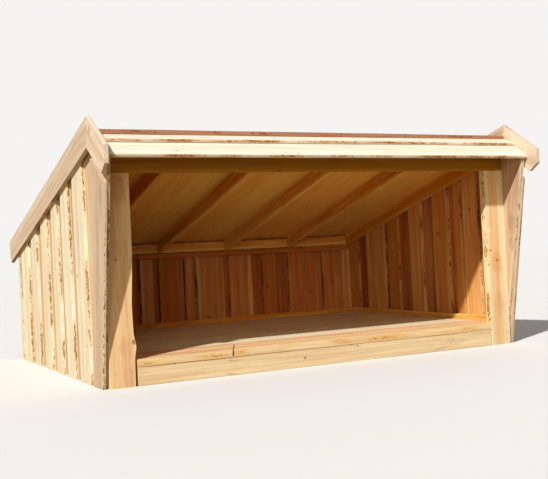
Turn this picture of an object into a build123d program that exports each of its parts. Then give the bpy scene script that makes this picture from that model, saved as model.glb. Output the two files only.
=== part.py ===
"""Open-fronted timber lean-to with a raised plank floor, one STEP file per piece.

Millimetres, +Z up, front opening towards -Y. The origin is on the ground, in the
middle of the roof's plan outline. The layout is drawn with y = 0 on the front face
of the two front posts, and is shifted to the origin when the pieces are written.
"""
from build123d import *
import math
import os

# Overall sizes
width = 3700.0
depth = 2705.0
rear_pitch_deg = 15.0
visor_pitch_deg = 33.0

# Wall boards
wall_board_thickness = 25.0
board_lap = 45.0
narrowest_cover_board = 120.0

# Boards as laid: width of each board, and the gap that follows it
left_outer_pattern = (
    (311.0, 115.0),
    (264.0, 115.0),
    (219.0, 147.0),
    (253.0, 165.0),
    (239.0, 122.0),
    (317.0, 40.0),
    (98.0, 60.0),
)
right_inner_pattern = (
    (230.0, 6.0),
    (240.0, 6.0),
    (135.0, 61.0),
    (265.0, 163.0),
    (238.0, 177.0),
    (221.0, 6.0),
    (411.0, 142.0),
    (293.0, 60.0),
)
rear_inner_pattern = (
    (240.0, 60.0),
    (260.0, 50.0),
    (240.0, 70.0),
    (200.0, 6.0),
    (164.0, 43.0),
    (254.0, 16.0),
    (132.0, 8.0),
    (343.0, 23.0),
    (300.0, 98.0),
    (196.0, 123.0),
    (403.0, 26.0),
    (345.0, 60.0),
)

# Wing boards, where the side walls lean forward of the posts
wing_foot_setback = 20.0
wing_reach = 240.0
wing_top_drop = 186.0
wing_outer_foot_rear = 240.0
wing_outer_top_rear = 62.0
wing_inner_setback = 35.0
wing_inner_rear = 105.0
wing_inner_gap = 6.0
first_outer_board = 300.0

# Front posts and header beam
left_post_width = 208.0
right_post_width = 213.0
post_thickness = 55.0
post_height = 1511.0
header_height = 125.0

# Rafters and the short rafters under the visor
rafter_count = 6
rafter_width = 40.0
rafter_depth = 125.0
rafter_notch = 15.0
first_bay = 536.0
visor_rafter_width = 45.0
visor_rafter_tip = 20.0

# Rear wall frame
rim_thickness = 45.0
rear_plate_depth = 70.0
rear_plate_height = 48.0
corner_post_width = 95.0
rail_thickness = 45.0
rail_height = 50.0

# Floor
floor_height = 188.0
floor_board_thickness = 50.0
floor_board_width = 205.0
floor_board_gap = 3.0
front_floor_board_width = 250.0
front_floor_board_count = 2
floor_overhang = 5.0
bearer_setback = 3.0
floor_joint_from_left = 992.0
floor_joint_angle_deg = 25.5
floor_joint_gap = 10.0
joist_width = 60.0
joist_count = 6

# Roof boards
ceiling_thickness = 20.0
ceiling_setback = 30.0
roof_board_thickness = 25.0
roof_board_pitch = 215.0
roof_board_lap = 40.0
roof_overhang = 180.0
roof_batten_width = 45.0
ridge_board_width = 200.0
ridge_board_thickness = 38.0
ridge_board_overhang = 15.0
visor_reach = 278.0
visor_board_thickness = 22.0
eave_board_width = 220.0
visor_board_lap = 28.0
visor_board_ridge_gap = 8.0

# Barge boards
barge_thickness = 30.0
barge_width = 213.0
barge_rise_rear = 145.0
barge_rise_front = 127.0
barge_rear_reach = 237.0
barge_front_reach = 387.0
barge_front_plumb = 128.0
barge_tip_setback = 98.0

# Sizes that follow from the ones above
half_width = width / 2
wall_thickness = 2 * wall_board_thickness
inner_half_width = half_width - wall_thickness
rear_tangent = math.tan(math.radians(rear_pitch_deg))
rear_cosine = math.cos(math.radians(rear_pitch_deg))
visor_tangent = math.tan(math.radians(visor_pitch_deg))
rear_inner_face = depth - wall_thickness
rim_front = rear_inner_face - rim_thickness
rafter_drop = rafter_depth / rear_cosine
header_top = post_height + header_height
ridge_height = header_top - rafter_notch + rafter_drop + rear_tangent * post_thickness
floor_underside = floor_height - floor_board_thickness


def underside(y):
    """Height of the ceiling's underside on the rear slope."""
    return ridge_height - rear_tangent * y


def visor_underside(y):
    """Height of the visor boards' underside, forward of the ridge (y below 0)."""
    return ridge_height + visor_tangent * y


class SlopeFrame:
    """Points on a roof slope: s runs down the slope from the ridge, t stands off it."""

    def __init__(self, pitch_deg, towards_rear):
        """Set up the down-slope and outward directions for one side of the ridge."""
        pitch = math.radians(pitch_deg)
        side = 1.0 if towards_rear else -1.0
        self.down = (side * math.cos(pitch), -math.sin(pitch))
        self.out = (side * math.sin(pitch), math.cos(pitch))

    def point(self, s, t):
        """Return the (y, z) point at s down the slope and t above its underside."""
        y = s * self.down[0] + t * self.out[0]
        z = ridge_height + s * self.down[1] + t * self.out[1]
        return (y, z)


rear_slope = SlopeFrame(rear_pitch_deg, towards_rear=True)
visor_slope = SlopeFrame(visor_pitch_deg, towards_rear=False)


def block(x_range, y_range, z_range):
    """Return a squared timber between the given low and high faces."""
    size = [high - low for low, high in (x_range, y_range, z_range)]
    corner = Pos(x_range[0], y_range[0], z_range[0])
    return corner * Box(*size, align=(Align.MIN, Align.MIN, Align.MIN))


def profile_along_x(outline, x_range):
    """Return a solid with a (y, z) outline, run along X."""
    face = Plane.YZ * make_face(Polyline(*outline, close=True))
    length = x_range[1] - x_range[0]
    return Pos(x_range[0], 0, 0) * extrude(face, amount=length, dir=(1, 0, 0))


def plank_in_plan(outline, z_range):
    """Return a plank with an (x, y) outline between two heights."""
    face = make_face(Polyline(*outline, close=True))
    return Pos(0, 0, z_range[0]) * extrude(face, amount=z_range[1] - z_range[0], dir=(0, 0, 1))


def fit_boards(start, end, pattern):
    """Lay as many boards of the pattern as fit, with gaps stretched to end flush.

    Args:
        start: where the first board begins.
        end: where the last board ends.
        pattern: pairs of board width and following gap, repeated where the wall is longer.

    Returns:
        A list of (low, high) pairs, one for each board.
    """
    span = end - start
    rounding = 0.5
    widths = []
    gaps = []
    used = 0.0
    while True:
        board, gap = pattern[len(widths) % len(pattern)]
        if used + board > span + rounding:
            break
        widths.append(board)
        gaps.append(gap)
        used += board + gap
    stretch = (span - sum(widths)) / max(sum(gaps[:-1]), rounding)
    boards = []
    low = start
    for board, gap in zip(widths, gaps):
        boards.append((low, low + board))
        low += board + gap * stretch
    return boards


def cover_gaps(boards):
    """Return the boards of the second layer, each centred on a gap of the first."""
    covers = []
    for (_, gap_low), (gap_high, _) in zip(boards, boards[1:]):
        cover = max(gap_high - gap_low + 2 * board_lap, narrowest_cover_board)
        middle = (gap_low + gap_high) / 2
        covers.append((middle - cover / 2, middle + cover / 2))
    return covers


def side_boards(boards, x_range):
    """Return upright boards of a side wall, cut to the rear slope at the top."""
    solids = []
    for low, high in boards:
        outline = [(low, 0), (high, 0), (high, underside(high)), (low, underside(low))]
        solids.append(profile_along_x(outline, x_range))
    return Compound(solids)


def rear_boards(boards, y_range):
    """Return upright boards of the rear wall, up to the ceiling boards."""
    top = underside(y_range[1])
    return Compound([block(run, y_range, (0, top)) for run in boards])


def mirrored(piece):
    """Return the piece on the other side of the shelter."""
    return mirror(piece, about=Plane.YZ)


# Layers of the side walls, on the left
outer_layer = (-half_width, -half_width + wall_board_thickness)
inner_layer = (outer_layer[1], -inner_half_width)


wing_top = visor_underside(-wing_reach) - wing_top_drop


def wing_front(z):
    """Return the y of the leaning front edge of the wing boards at a height."""
    return wing_foot_setback - (wing_reach + wing_foot_setback) * z / wing_top


def wing_outer_board():
    """Return the outer wing board: it leans forward, and its top is parallel to the visor."""
    top_rear = visor_underside(wing_outer_top_rear) - wing_top_drop
    outline = [
        (wing_foot_setback, 0),
        (wing_outer_foot_rear, 0),
        (wing_outer_top_rear, min(top_rear, underside(wing_outer_top_rear))),
        (-wing_reach, wing_top),
    ]
    return profile_along_x(outline, outer_layer)


def wing_inner_board():
    """Return the inner wing board, which rises to the visor and the ceiling boards."""
    front_top = wing_front(ridge_height) + wing_inner_setback
    outline = [
        (wing_front(0) + wing_inner_setback, 0),
        (wing_inner_rear, 0),
        (wing_inner_rear, underside(wing_inner_rear)),
        (0, ridge_height),
        (front_top, visor_underside(front_top)),
    ]
    return profile_along_x(outline, inner_layer)


def front_posts():
    """Return the two sawn slabs that carry the header."""
    heights = (0, post_height)
    thickness = (0, post_thickness)
    left = block((-inner_half_width, -inner_half_width + left_post_width), thickness, heights)
    right = block((inner_half_width - right_post_width, inner_half_width), thickness, heights)
    return left, right


def header_beam():
    """Return the beam on the front posts."""
    return block(
        (-inner_half_width, inner_half_width), (0, post_thickness), (post_height, header_top)
    )


def rafter_places():
    """Return the left face of each rafter: a short first bay, then even ones."""
    first = -inner_half_width
    last = inner_half_width - rafter_width
    second = first + rafter_width + first_bay
    spacing = (last - second) / (rafter_count - 2)
    return [first] + [second + spacing * i for i in range(rafter_count - 1)]


def rafter(x_low):
    """Return one rafter, notched over the header and butted to the rim beam."""
    outline = [
        (0, ridge_height - rafter_drop),
        (rim_front, underside(rim_front) - rafter_drop),
        (rim_front, underside(rim_front)),
        (0, ridge_height),
    ]
    return profile_along_x(outline, (x_low, x_low + rafter_width)) - header_beam()


def visor_rafter(x_low):
    """Return one short rafter under the visor, seated on the header beside a rafter."""
    front = -(ridge_height - header_top - visor_rafter_tip) / visor_tangent
    outline = [
        (front, header_top),
        (post_thickness, header_top),
        (post_thickness, underside(post_thickness)),
        (0, ridge_height),
        (front, header_top + visor_rafter_tip),
    ]
    return profile_along_x(outline, (x_low, x_low + visor_rafter_width))


def visor_rafters():
    """Return the short rafters, each against a rafter's side that faces the middle."""
    solids = []
    for x_low in rafter_places():
        if x_low + rafter_width / 2 < 0:
            solids.append(visor_rafter(x_low + rafter_width))
        else:
            solids.append(visor_rafter(x_low - visor_rafter_width))
    return Compound(solids)


rim_bottom = underside(rim_front) - rafter_drop
rear_plate_bottom = rim_bottom - rear_plate_height
rail_top = floor_height + rail_height
inside_x = (-inner_half_width, inner_half_width)


def rear_frame():
    """Return the rim beam, plate, bottom rail and corner posts of the rear wall."""
    rim = block(inside_x, (rim_front, rear_inner_face), (rim_bottom, underside(rear_inner_face)))
    plate_front = rear_inner_face - rear_plate_depth
    plate = block(inside_x, (plate_front, rear_inner_face), (rear_plate_bottom, rim_bottom))
    rail_front = rear_inner_face - rail_thickness
    rail = block(inside_x, (rail_front, rear_inner_face), (floor_height, rail_top))
    corner = block(
        (-inner_half_width, -inner_half_width + corner_post_width),
        (rail_front, rear_inner_face),
        (rail_top, rear_plate_bottom),
    )
    return rim, plate, rail, corner


def side_rail():
    """Return the bottom rail along the left wall, from the post to the rear rail."""
    return block(
        (-inner_half_width, -inner_half_width + rail_thickness),
        (post_thickness, rear_inner_face - rail_thickness),
        (floor_height, rail_top),
    )


def front_bearer():
    """Return the beam on edge under the front of the floor, between the posts."""
    return block(
        (-inner_half_width + left_post_width, inner_half_width - right_post_width),
        (bearer_setback, post_thickness),
        (0, floor_underside),
    )


def floor_joists():
    """Return the joists on the ground, from the front bearer to the rear wall."""
    first = -inner_half_width
    spacing = (2 * inner_half_width - joist_width) / (joist_count - 1)
    solids = []
    for i in range(joist_count):
        x_low = first + spacing * i
        solids.append(
            block(
                (x_low, x_low + joist_width),
                (post_thickness, rear_inner_face),
                (0, floor_underside),
            )
        )
    return Compound(solids)


floor_levels = (floor_underside, floor_height)
front_boards_end = front_floor_board_count * (front_floor_board_width + floor_board_gap)


def front_floor_boards():
    """Return the front planks in two lengths, parted by one slanting saw cut."""
    left_post_edge = -inner_half_width + left_post_width
    right_post_edge = inner_half_width - right_post_width
    lean = math.tan(math.radians(floor_joint_angle_deg))
    joint_front = -half_width + floor_joint_from_left
    lefts = []
    rights = []
    for i in range(front_floor_board_count):
        low = i * (front_floor_board_width + floor_board_gap)
        high = low + front_floor_board_width
        cut_low = joint_front + lean * low
        cut_high = joint_front + lean * high
        if i == 0:
            front = -floor_overhang
            cut_front = joint_front + lean * front
            left_outline = [
                (left_post_edge, front),
                (cut_front, front),
                (cut_high, high),
                (-inner_half_width, high),
                (-inner_half_width, post_thickness),
                (left_post_edge, post_thickness),
            ]
            right_outline = [
                (cut_front + floor_joint_gap, front),
                (right_post_edge, front),
                (right_post_edge, post_thickness),
                (inner_half_width, post_thickness),
                (inner_half_width, high),
                (cut_high + floor_joint_gap, high),
            ]
        else:
            left_outline = [
                (-inner_half_width, low),
                (cut_low, low),
                (cut_high, high),
                (-inner_half_width, high),
            ]
            right_outline = [
                (cut_low + floor_joint_gap, low),
                (inner_half_width, low),
                (inner_half_width, high),
                (cut_high + floor_joint_gap, high),
            ]
        lefts.append(plank_in_plan(left_outline, floor_levels))
        rights.append(plank_in_plan(right_outline, floor_levels))
    return Compound(lefts), Compound(rights)


def floor_boards():
    """Return the planks behind the front ones, of even width."""
    span = rear_inner_face - front_boards_end
    count = round((span + floor_board_gap) / (floor_board_width + floor_board_gap))
    plank = (span + floor_board_gap) / count - floor_board_gap
    solids = []
    for i in range(count):
        low = front_boards_end + i * (plank + floor_board_gap)
        solids.append(block(inside_x, (low, low + plank), floor_levels))
    return Compound(solids)


roof_x = (-half_width, half_width)


ceiling_end = depth + roof_overhang - ceiling_setback


def ceiling_boards():
    """Return the close-boarded ceiling on the rafters."""
    lift = ceiling_thickness / rear_cosine
    outline = [
        (0, ridge_height),
        (ceiling_end, underside(ceiling_end)),
        (ceiling_end, underside(ceiling_end) + lift),
        (0, ridge_height + lift),
    ]
    return profile_along_x(outline, roof_x)


def rear_roof_boards():
    """Return the lapped boards of the rear slope and the batten that tilts the lowest one."""
    slope_end = (depth + roof_overhang) / rear_cosine
    span = slope_end - ridge_board_width - roof_board_lap
    count = round(span / roof_board_pitch)
    pitch = span / count
    tilt = math.asin(roof_board_thickness / pitch)
    along = (math.cos(tilt), math.sin(tilt))
    length = (pitch + roof_board_lap) / along[0]
    solids = []
    for i in range(count):
        top = ridge_board_width + i * pitch + roof_board_thickness * along[1]
        corners = []
        for distance, lift in (
            (0, 0),
            (length, 0),
            (length, roof_board_thickness),
            (0, roof_board_thickness),
        ):
            s = top + distance * along[0] - lift * along[1]
            t = ceiling_thickness + distance * along[1] + lift * along[0]
            corners.append(rear_slope.point(s, t))
        solids.append(profile_along_x(corners, roof_x))
    batten_end = ceiling_end / rear_cosine - ceiling_thickness * rear_tangent
    batten_start = batten_end - roof_batten_width
    batten_outline = [
        rear_slope.point(batten_start, ceiling_thickness),
        rear_slope.point(batten_end, ceiling_thickness),
        rear_slope.point(batten_end, ceiling_thickness + (batten_end - top) * math.tan(tilt)),
        rear_slope.point(batten_start, ceiling_thickness + (batten_start - top) * math.tan(tilt)),
    ]
    return Compound(solids), profile_along_x(batten_outline, roof_x)


def ridge_board():
    """Return the top board of the rear slope, which oversails the visor."""
    top = ceiling_thickness + ridge_board_thickness
    outline = [
        rear_slope.point(-ridge_board_overhang, ceiling_thickness),
        rear_slope.point(ridge_board_width, ceiling_thickness),
        rear_slope.point(ridge_board_width, top),
        rear_slope.point(-ridge_board_overhang, top),
    ]
    return profile_along_x(outline, roof_x)


def visor_boards():
    """Return the eave board, and the tilted board that laps over it up to the ridge."""
    visor_cosine = math.cos(math.radians(visor_pitch_deg))
    eave = visor_reach / visor_cosine
    upper = eave - eave_board_width
    thickness = visor_board_thickness
    eave_outline = [
        visor_slope.point(upper, 0),
        visor_slope.point(eave, 0),
        visor_slope.point(eave, thickness),
        visor_slope.point(upper, thickness),
    ]
    run = upper - visor_board_ridge_gap
    reach = math.hypot(run, thickness)
    along = (run / reach, thickness / reach)
    out = (-along[1], along[0])
    board_end = reach + visor_board_lap
    corners = []
    for distance, lift in ((0, 0), (board_end, 0), (board_end, thickness), (0, thickness)):
        s = visor_board_ridge_gap + distance * along[0] + lift * out[0]
        t = distance * along[1] + lift * out[1]
        corners.append(visor_slope.point(s, t))
    return profile_along_x(eave_outline, roof_x), profile_along_x(corners, roof_x)


def crossing(rear_offset, front_offset):
    """Return where lines at two vertical offsets from the slopes meet near the ridge."""
    y = (rear_offset - front_offset) / (rear_tangent + visor_tangent)
    return (y, ridge_height + rear_offset - rear_tangent * y)


def barge_boards():
    """Return the rear and front barge boards of the left gable, mitred at the peak."""
    visor_cosine = math.cos(math.radians(visor_pitch_deg))
    x_range = (-half_width - barge_thickness, -half_width)
    rear_top = barge_rise_rear / rear_cosine
    front_top = barge_rise_front / visor_cosine
    peak = crossing(rear_top, front_top)
    heel = crossing(rear_top - barge_width / rear_cosine, front_top - barge_width / visor_cosine)
    rear_end = (depth + barge_rear_reach) / rear_cosine
    tail = rear_end - barge_rise_rear * rear_tangent
    front_edge = visor_underside(-barge_front_reach) + front_top
    tip = -(barge_front_reach - barge_tip_setback)
    tip_height = visor_underside(tip) + front_top - barge_width / visor_cosine
    rear_outline = [
        peak,
        heel,
        rear_slope.point(tail, barge_rise_rear - barge_width),
        rear_slope.point(tail, barge_rise_rear),
    ]
    front_outline = [
        heel,
        peak,
        (-barge_front_reach, front_edge),
        (-barge_front_reach, front_edge - barge_front_plumb),
        (tip, tip_height),
    ]
    return profile_along_x(rear_outline, x_range), profile_along_x(front_outline, x_range)


def build_pieces():
    """Return every piece by name, in the layout's own coordinates."""
    pieces = {}
    pieces["front_bearer"] = front_bearer()
    pieces["floor_joists"] = floor_joists()
    left_planks, right_planks = front_floor_boards()
    pieces["front_floor_boards_left"] = left_planks
    pieces["front_floor_boards_right"] = right_planks
    pieces["floor_boards"] = floor_boards()
    pieces["left_post"], pieces["right_post"] = front_posts()
    pieces["header_beam"] = header_beam()
    for number, x_low in enumerate(rafter_places(), start=1):
        pieces[f"rafter_{number}"] = rafter(x_low)
    pieces["visor_rafters"] = visor_rafters()
    rim, plate, rail, corner = rear_frame()
    pieces["rear_rim_beam"] = rim
    pieces["rear_wall_plate"] = plate
    pieces["rear_bottom_rail"] = rail
    pieces["rear_left_post"] = corner
    pieces["rear_right_post"] = mirrored(corner)
    pieces["left_bottom_rail"] = side_rail()
    pieces["right_bottom_rail"] = mirrored(side_rail())

    left_outer = fit_boards(first_outer_board, depth, left_outer_pattern)
    inner_start = wing_inner_rear + wing_inner_gap
    first_cover = (inner_start, first_outer_board + board_lap)
    left_inner = [first_cover] + cover_gaps(left_outer)
    pieces["left_wall_outer_boards"] = side_boards(left_outer, outer_layer)
    pieces["left_wall_inner_boards"] = side_boards(left_inner, inner_layer)
    right_inner = fit_boards(inner_start, depth, right_inner_pattern)
    pieces["right_wall_inner_boards"] = mirrored(side_boards(right_inner, inner_layer))
    pieces["right_wall_outer_boards"] = mirrored(side_boards(cover_gaps(right_inner), outer_layer))
    pieces["left_wing_outer_board"] = wing_outer_board()
    pieces["left_wing_inner_board"] = wing_inner_board()
    pieces["right_wing_outer_board"] = mirrored(wing_outer_board())
    pieces["right_wing_inner_board"] = mirrored(wing_inner_board())
    rear_inner = fit_boards(-inner_half_width, inner_half_width, rear_inner_pattern)
    layer_joint = rear_inner_face + wall_board_thickness
    pieces["rear_wall_inner_boards"] = rear_boards(rear_inner, (rear_inner_face, layer_joint))
    pieces["rear_wall_outer_boards"] = rear_boards(cover_gaps(rear_inner), (layer_joint, depth))

    pieces["ceiling_boards"] = ceiling_boards()
    lapped_boards, batten = rear_roof_boards()
    pieces["rear_roof_boards"] = lapped_boards
    pieces["rear_eave_batten"] = batten
    pieces["ridge_board"] = ridge_board()
    pieces["eave_board"], pieces["visor_board"] = visor_boards()
    rear_barge, front_barge = barge_boards()
    pieces["left_rear_barge_board"] = rear_barge
    pieces["left_front_barge_board"] = front_barge
    pieces["right_rear_barge_board"] = mirrored(rear_barge)
    pieces["right_front_barge_board"] = mirrored(front_barge)
    return pieces


def main():
    """Shift the layout to the middle of the roof's outline and write each piece."""
    os.makedirs("parts", exist_ok=True)
    pieces = build_pieces()
    front = min(piece.bounding_box().min.Y for piece in pieces.values())
    rear = max(piece.bounding_box().max.Y for piece in pieces.values())
    to_origin = Pos(0, -(front + rear) / 2, 0)
    for name, piece in pieces.items():
        export_step(to_origin * piece, f"parts/{name}.step")


main()
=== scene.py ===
"""Looks of an open-fronted timber lean-to: waney sawn boards, heavy planks, nails, crisp sun.

Every solid of the frame is a straight prism. Here each one is rebuilt as a sawn board or
beam in the same place, with wandering bark edges, small arrises and a solid grain that runs
through faces, edges and cut ends alike.
"""

import logging
import math
import zlib
from collections.abc import Callable, Mapping, Sequence
from dataclasses import dataclass, field, replace
from enum import Enum
from functools import partial

import bmesh
import bpy
import numpy as np
from mathutils import Matrix, Vector

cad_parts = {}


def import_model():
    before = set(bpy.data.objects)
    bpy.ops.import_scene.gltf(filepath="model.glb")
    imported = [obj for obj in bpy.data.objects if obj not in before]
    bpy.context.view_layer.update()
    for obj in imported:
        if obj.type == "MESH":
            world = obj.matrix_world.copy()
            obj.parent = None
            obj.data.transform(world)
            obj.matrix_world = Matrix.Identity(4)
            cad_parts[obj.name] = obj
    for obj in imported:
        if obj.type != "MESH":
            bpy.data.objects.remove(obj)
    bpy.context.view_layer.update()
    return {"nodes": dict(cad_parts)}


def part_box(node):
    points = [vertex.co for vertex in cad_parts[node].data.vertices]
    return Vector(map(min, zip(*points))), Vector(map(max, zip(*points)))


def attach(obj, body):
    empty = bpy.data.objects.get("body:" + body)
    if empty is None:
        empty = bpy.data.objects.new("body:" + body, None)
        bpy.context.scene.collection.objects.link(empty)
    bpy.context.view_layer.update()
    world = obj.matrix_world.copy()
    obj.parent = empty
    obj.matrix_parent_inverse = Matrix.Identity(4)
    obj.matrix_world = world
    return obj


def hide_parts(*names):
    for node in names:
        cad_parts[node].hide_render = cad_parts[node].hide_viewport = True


Tree = bpy.types.NodeTree
Socket = bpy.types.NodeSocket
Triple = tuple[float, float, float]
Span = tuple[float, float]
Plans = list[tuple["Patch", Span]]
# An edge's levels through the thickness, its inset at each place and level, and the bark there
Section = tuple[list[float], np.ndarray, list[float]]
# The function that adds nodes, bound to a tree
Adder = Callable[..., bpy.types.NodeOutputs]

LOG = logging.getLogger("lean_to")

# A ring of a real larch is 2 to 4 mm wide, too fine to show from 7 m, so rings are drawn 11 mm wide
RING_WIDTH_M = 0.011
# The wave texture turns 20 radians for each unit of its scaled coordinate
WAVE_RADIANS = 20.0
# Noise is drawn out along a board: how many of its cells a metre holds along, across and through
FIBRES = (1.6, 55.0, 55.0)      # 18 mm wide, as a true fibre is too fine to show
BANDS = (1.1, 24.0, 24.0)       # 42 mm wide
BROAD_BANDS = (0.9, 9.0, 9.0)   # 110 mm wide, which make the heartwood's edge ragged
CHECKS = (1.7, 34.0, 34.0)      # cracks 30 mm apart
CHECKED_LENGTHS = (2.3, 8.0, 8.0)
RAIN_MARKS = (1.3, 7.0, 7.0)    # 140 mm wide and 770 mm long
RESIN_CLOUDS = (7.0, 30.0, 30.0)
BARK_LENGTHS = (3.2, 9.0, 9.0)  # the bark came off in lengths of 200 to 500 mm and held between
BARK_FLAKES = (27.0, 88.0, 88.0)
SAW_MARKS = (190.0, 2.0, 2.0)   # a band saw leaves a mark every 4 to 6 mm across the board
RING_BEND = (0.22, 1.0, 1.0)    # rings bend slowly along the log
SPECKS_PER_M = 95.0
KNOT_CELLS_PER_M = 2.1

# How far apart a board's rings of points stand, and the lines of points on its faces
ROW_LENGTH_M = 0.035
COLUMN_WIDTH_M = 0.045
# The bark thins out over this lip inside a waney edge
BARK_LIP_M = 0.009
# A sawn edge's worn arris
ARRIS_M = 0.0015
# A log's edge wanders in three waves: the pitch in metres and the share of each
WANDER_WAVES = ((0.62, 0.45), (0.23, 0.35), (0.09, 0.2))
# A waney edge's section: levels through the thickness, how far the wane has run in, and its bark
WANE_LEVELS = (0.0, 0.3, 0.68, 1.0)
WANE_RUN = (0.0, 0.08, 0.45, 1.0)
WANE_BARK = (0.35, 1.0, 1.0, 0.75)

# Faces that meet at more than this keep a sharp edge between them
SHARP_ANGLE_DEG = 32.0
# Corners of a CAD mesh nearer than this are one corner
MERGE_M = 0.00001
# A length that counts as none
SMALL_M = 0.001
# A board has one nail in a row where two would stand in further than this share of its width
ONE_NAIL_INSET = 0.36
# A line of nails keeps this far from a board's ends
NAIL_FROM_END_M = 0.02

UP = (0.0, 0.0, 1.0)
RIGHT = (1.0, 0.0, 0.0)
LEFT = (-1.0, 0.0, 0.0)
REAR = (0.0, 1.0, 0.0)
FRONT = (0.0, -1.0, 0.0)


class Edge(Enum):
    """How the long edge of a board was left by the saw."""

    SAWN = "sawn square"
    SOFT = "sawn, with a worn round edge"
    WANEY = "bark edge"


# How far a saw wanders off its line, and a worn edge
SAW_WANDER_M = {Edge.SAWN: 0.0015, Edge.SOFT: 0.004}


def srgb(code: str) -> tuple[float, float, float, float]:
    """Turn an sRGB hex colour to linear.

    Args:
        code: six hex digits.

    Returns:
        Linear red, green, blue and an alpha of 1.
    """
    channels = []
    for start in (0, 2, 4):
        value = int(code[start:start + 2], 16) / 255.0
        channels.append(value / 12.92 if value <= 0.04045 else ((value + 0.055) / 1.055) ** 2.4)
    return (channels[0], channels[1], channels[2], 1.0)


def add_node(tree: Tree, kind: str, inputs: Mapping[str | int, object] | None = None,
             **settings: object) -> bpy.types.NodeOutputs:
    """Add a node with its settings, values and links.

    Args:
        tree: the node tree that gets the node.
        kind: the node's type, such as "ShaderNodeMath".
        inputs: a value, or a socket to link from, for each input by name or number.
        **settings: the node's own properties.

    Returns:
        The new node's outputs.
    """
    node = tree.nodes.new(kind)
    for key, value in settings.items():
        setattr(node, key, value)
    for key, value in (inputs or {}).items():
        if isinstance(value, Socket):
            tree.links.new(value, node.inputs[key])
        else:
            node.inputs[key].default_value = value
    return node.outputs


def bare_material(name: str) -> bpy.types.Material:
    """Return a new material whose node tree is empty.

    Args:
        name: the material's name.

    Returns:
        The new material.
    """
    material = bpy.data.materials.new(name)
    material.use_nodes = True
    material.node_tree.nodes.clear()
    return material


def put_in_scene(name: str, data: bpy.types.ID) -> bpy.types.Object:
    """Return a new object with the mesh, lamp or camera, linked to the scene at the origin.

    Args:
        name: the object's name.
        data: its mesh, lamp or camera.

    Returns:
        The new object.
    """
    thing = bpy.data.objects.new(name, data)
    bpy.context.scene.collection.objects.link(thing)
    return thing


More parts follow.
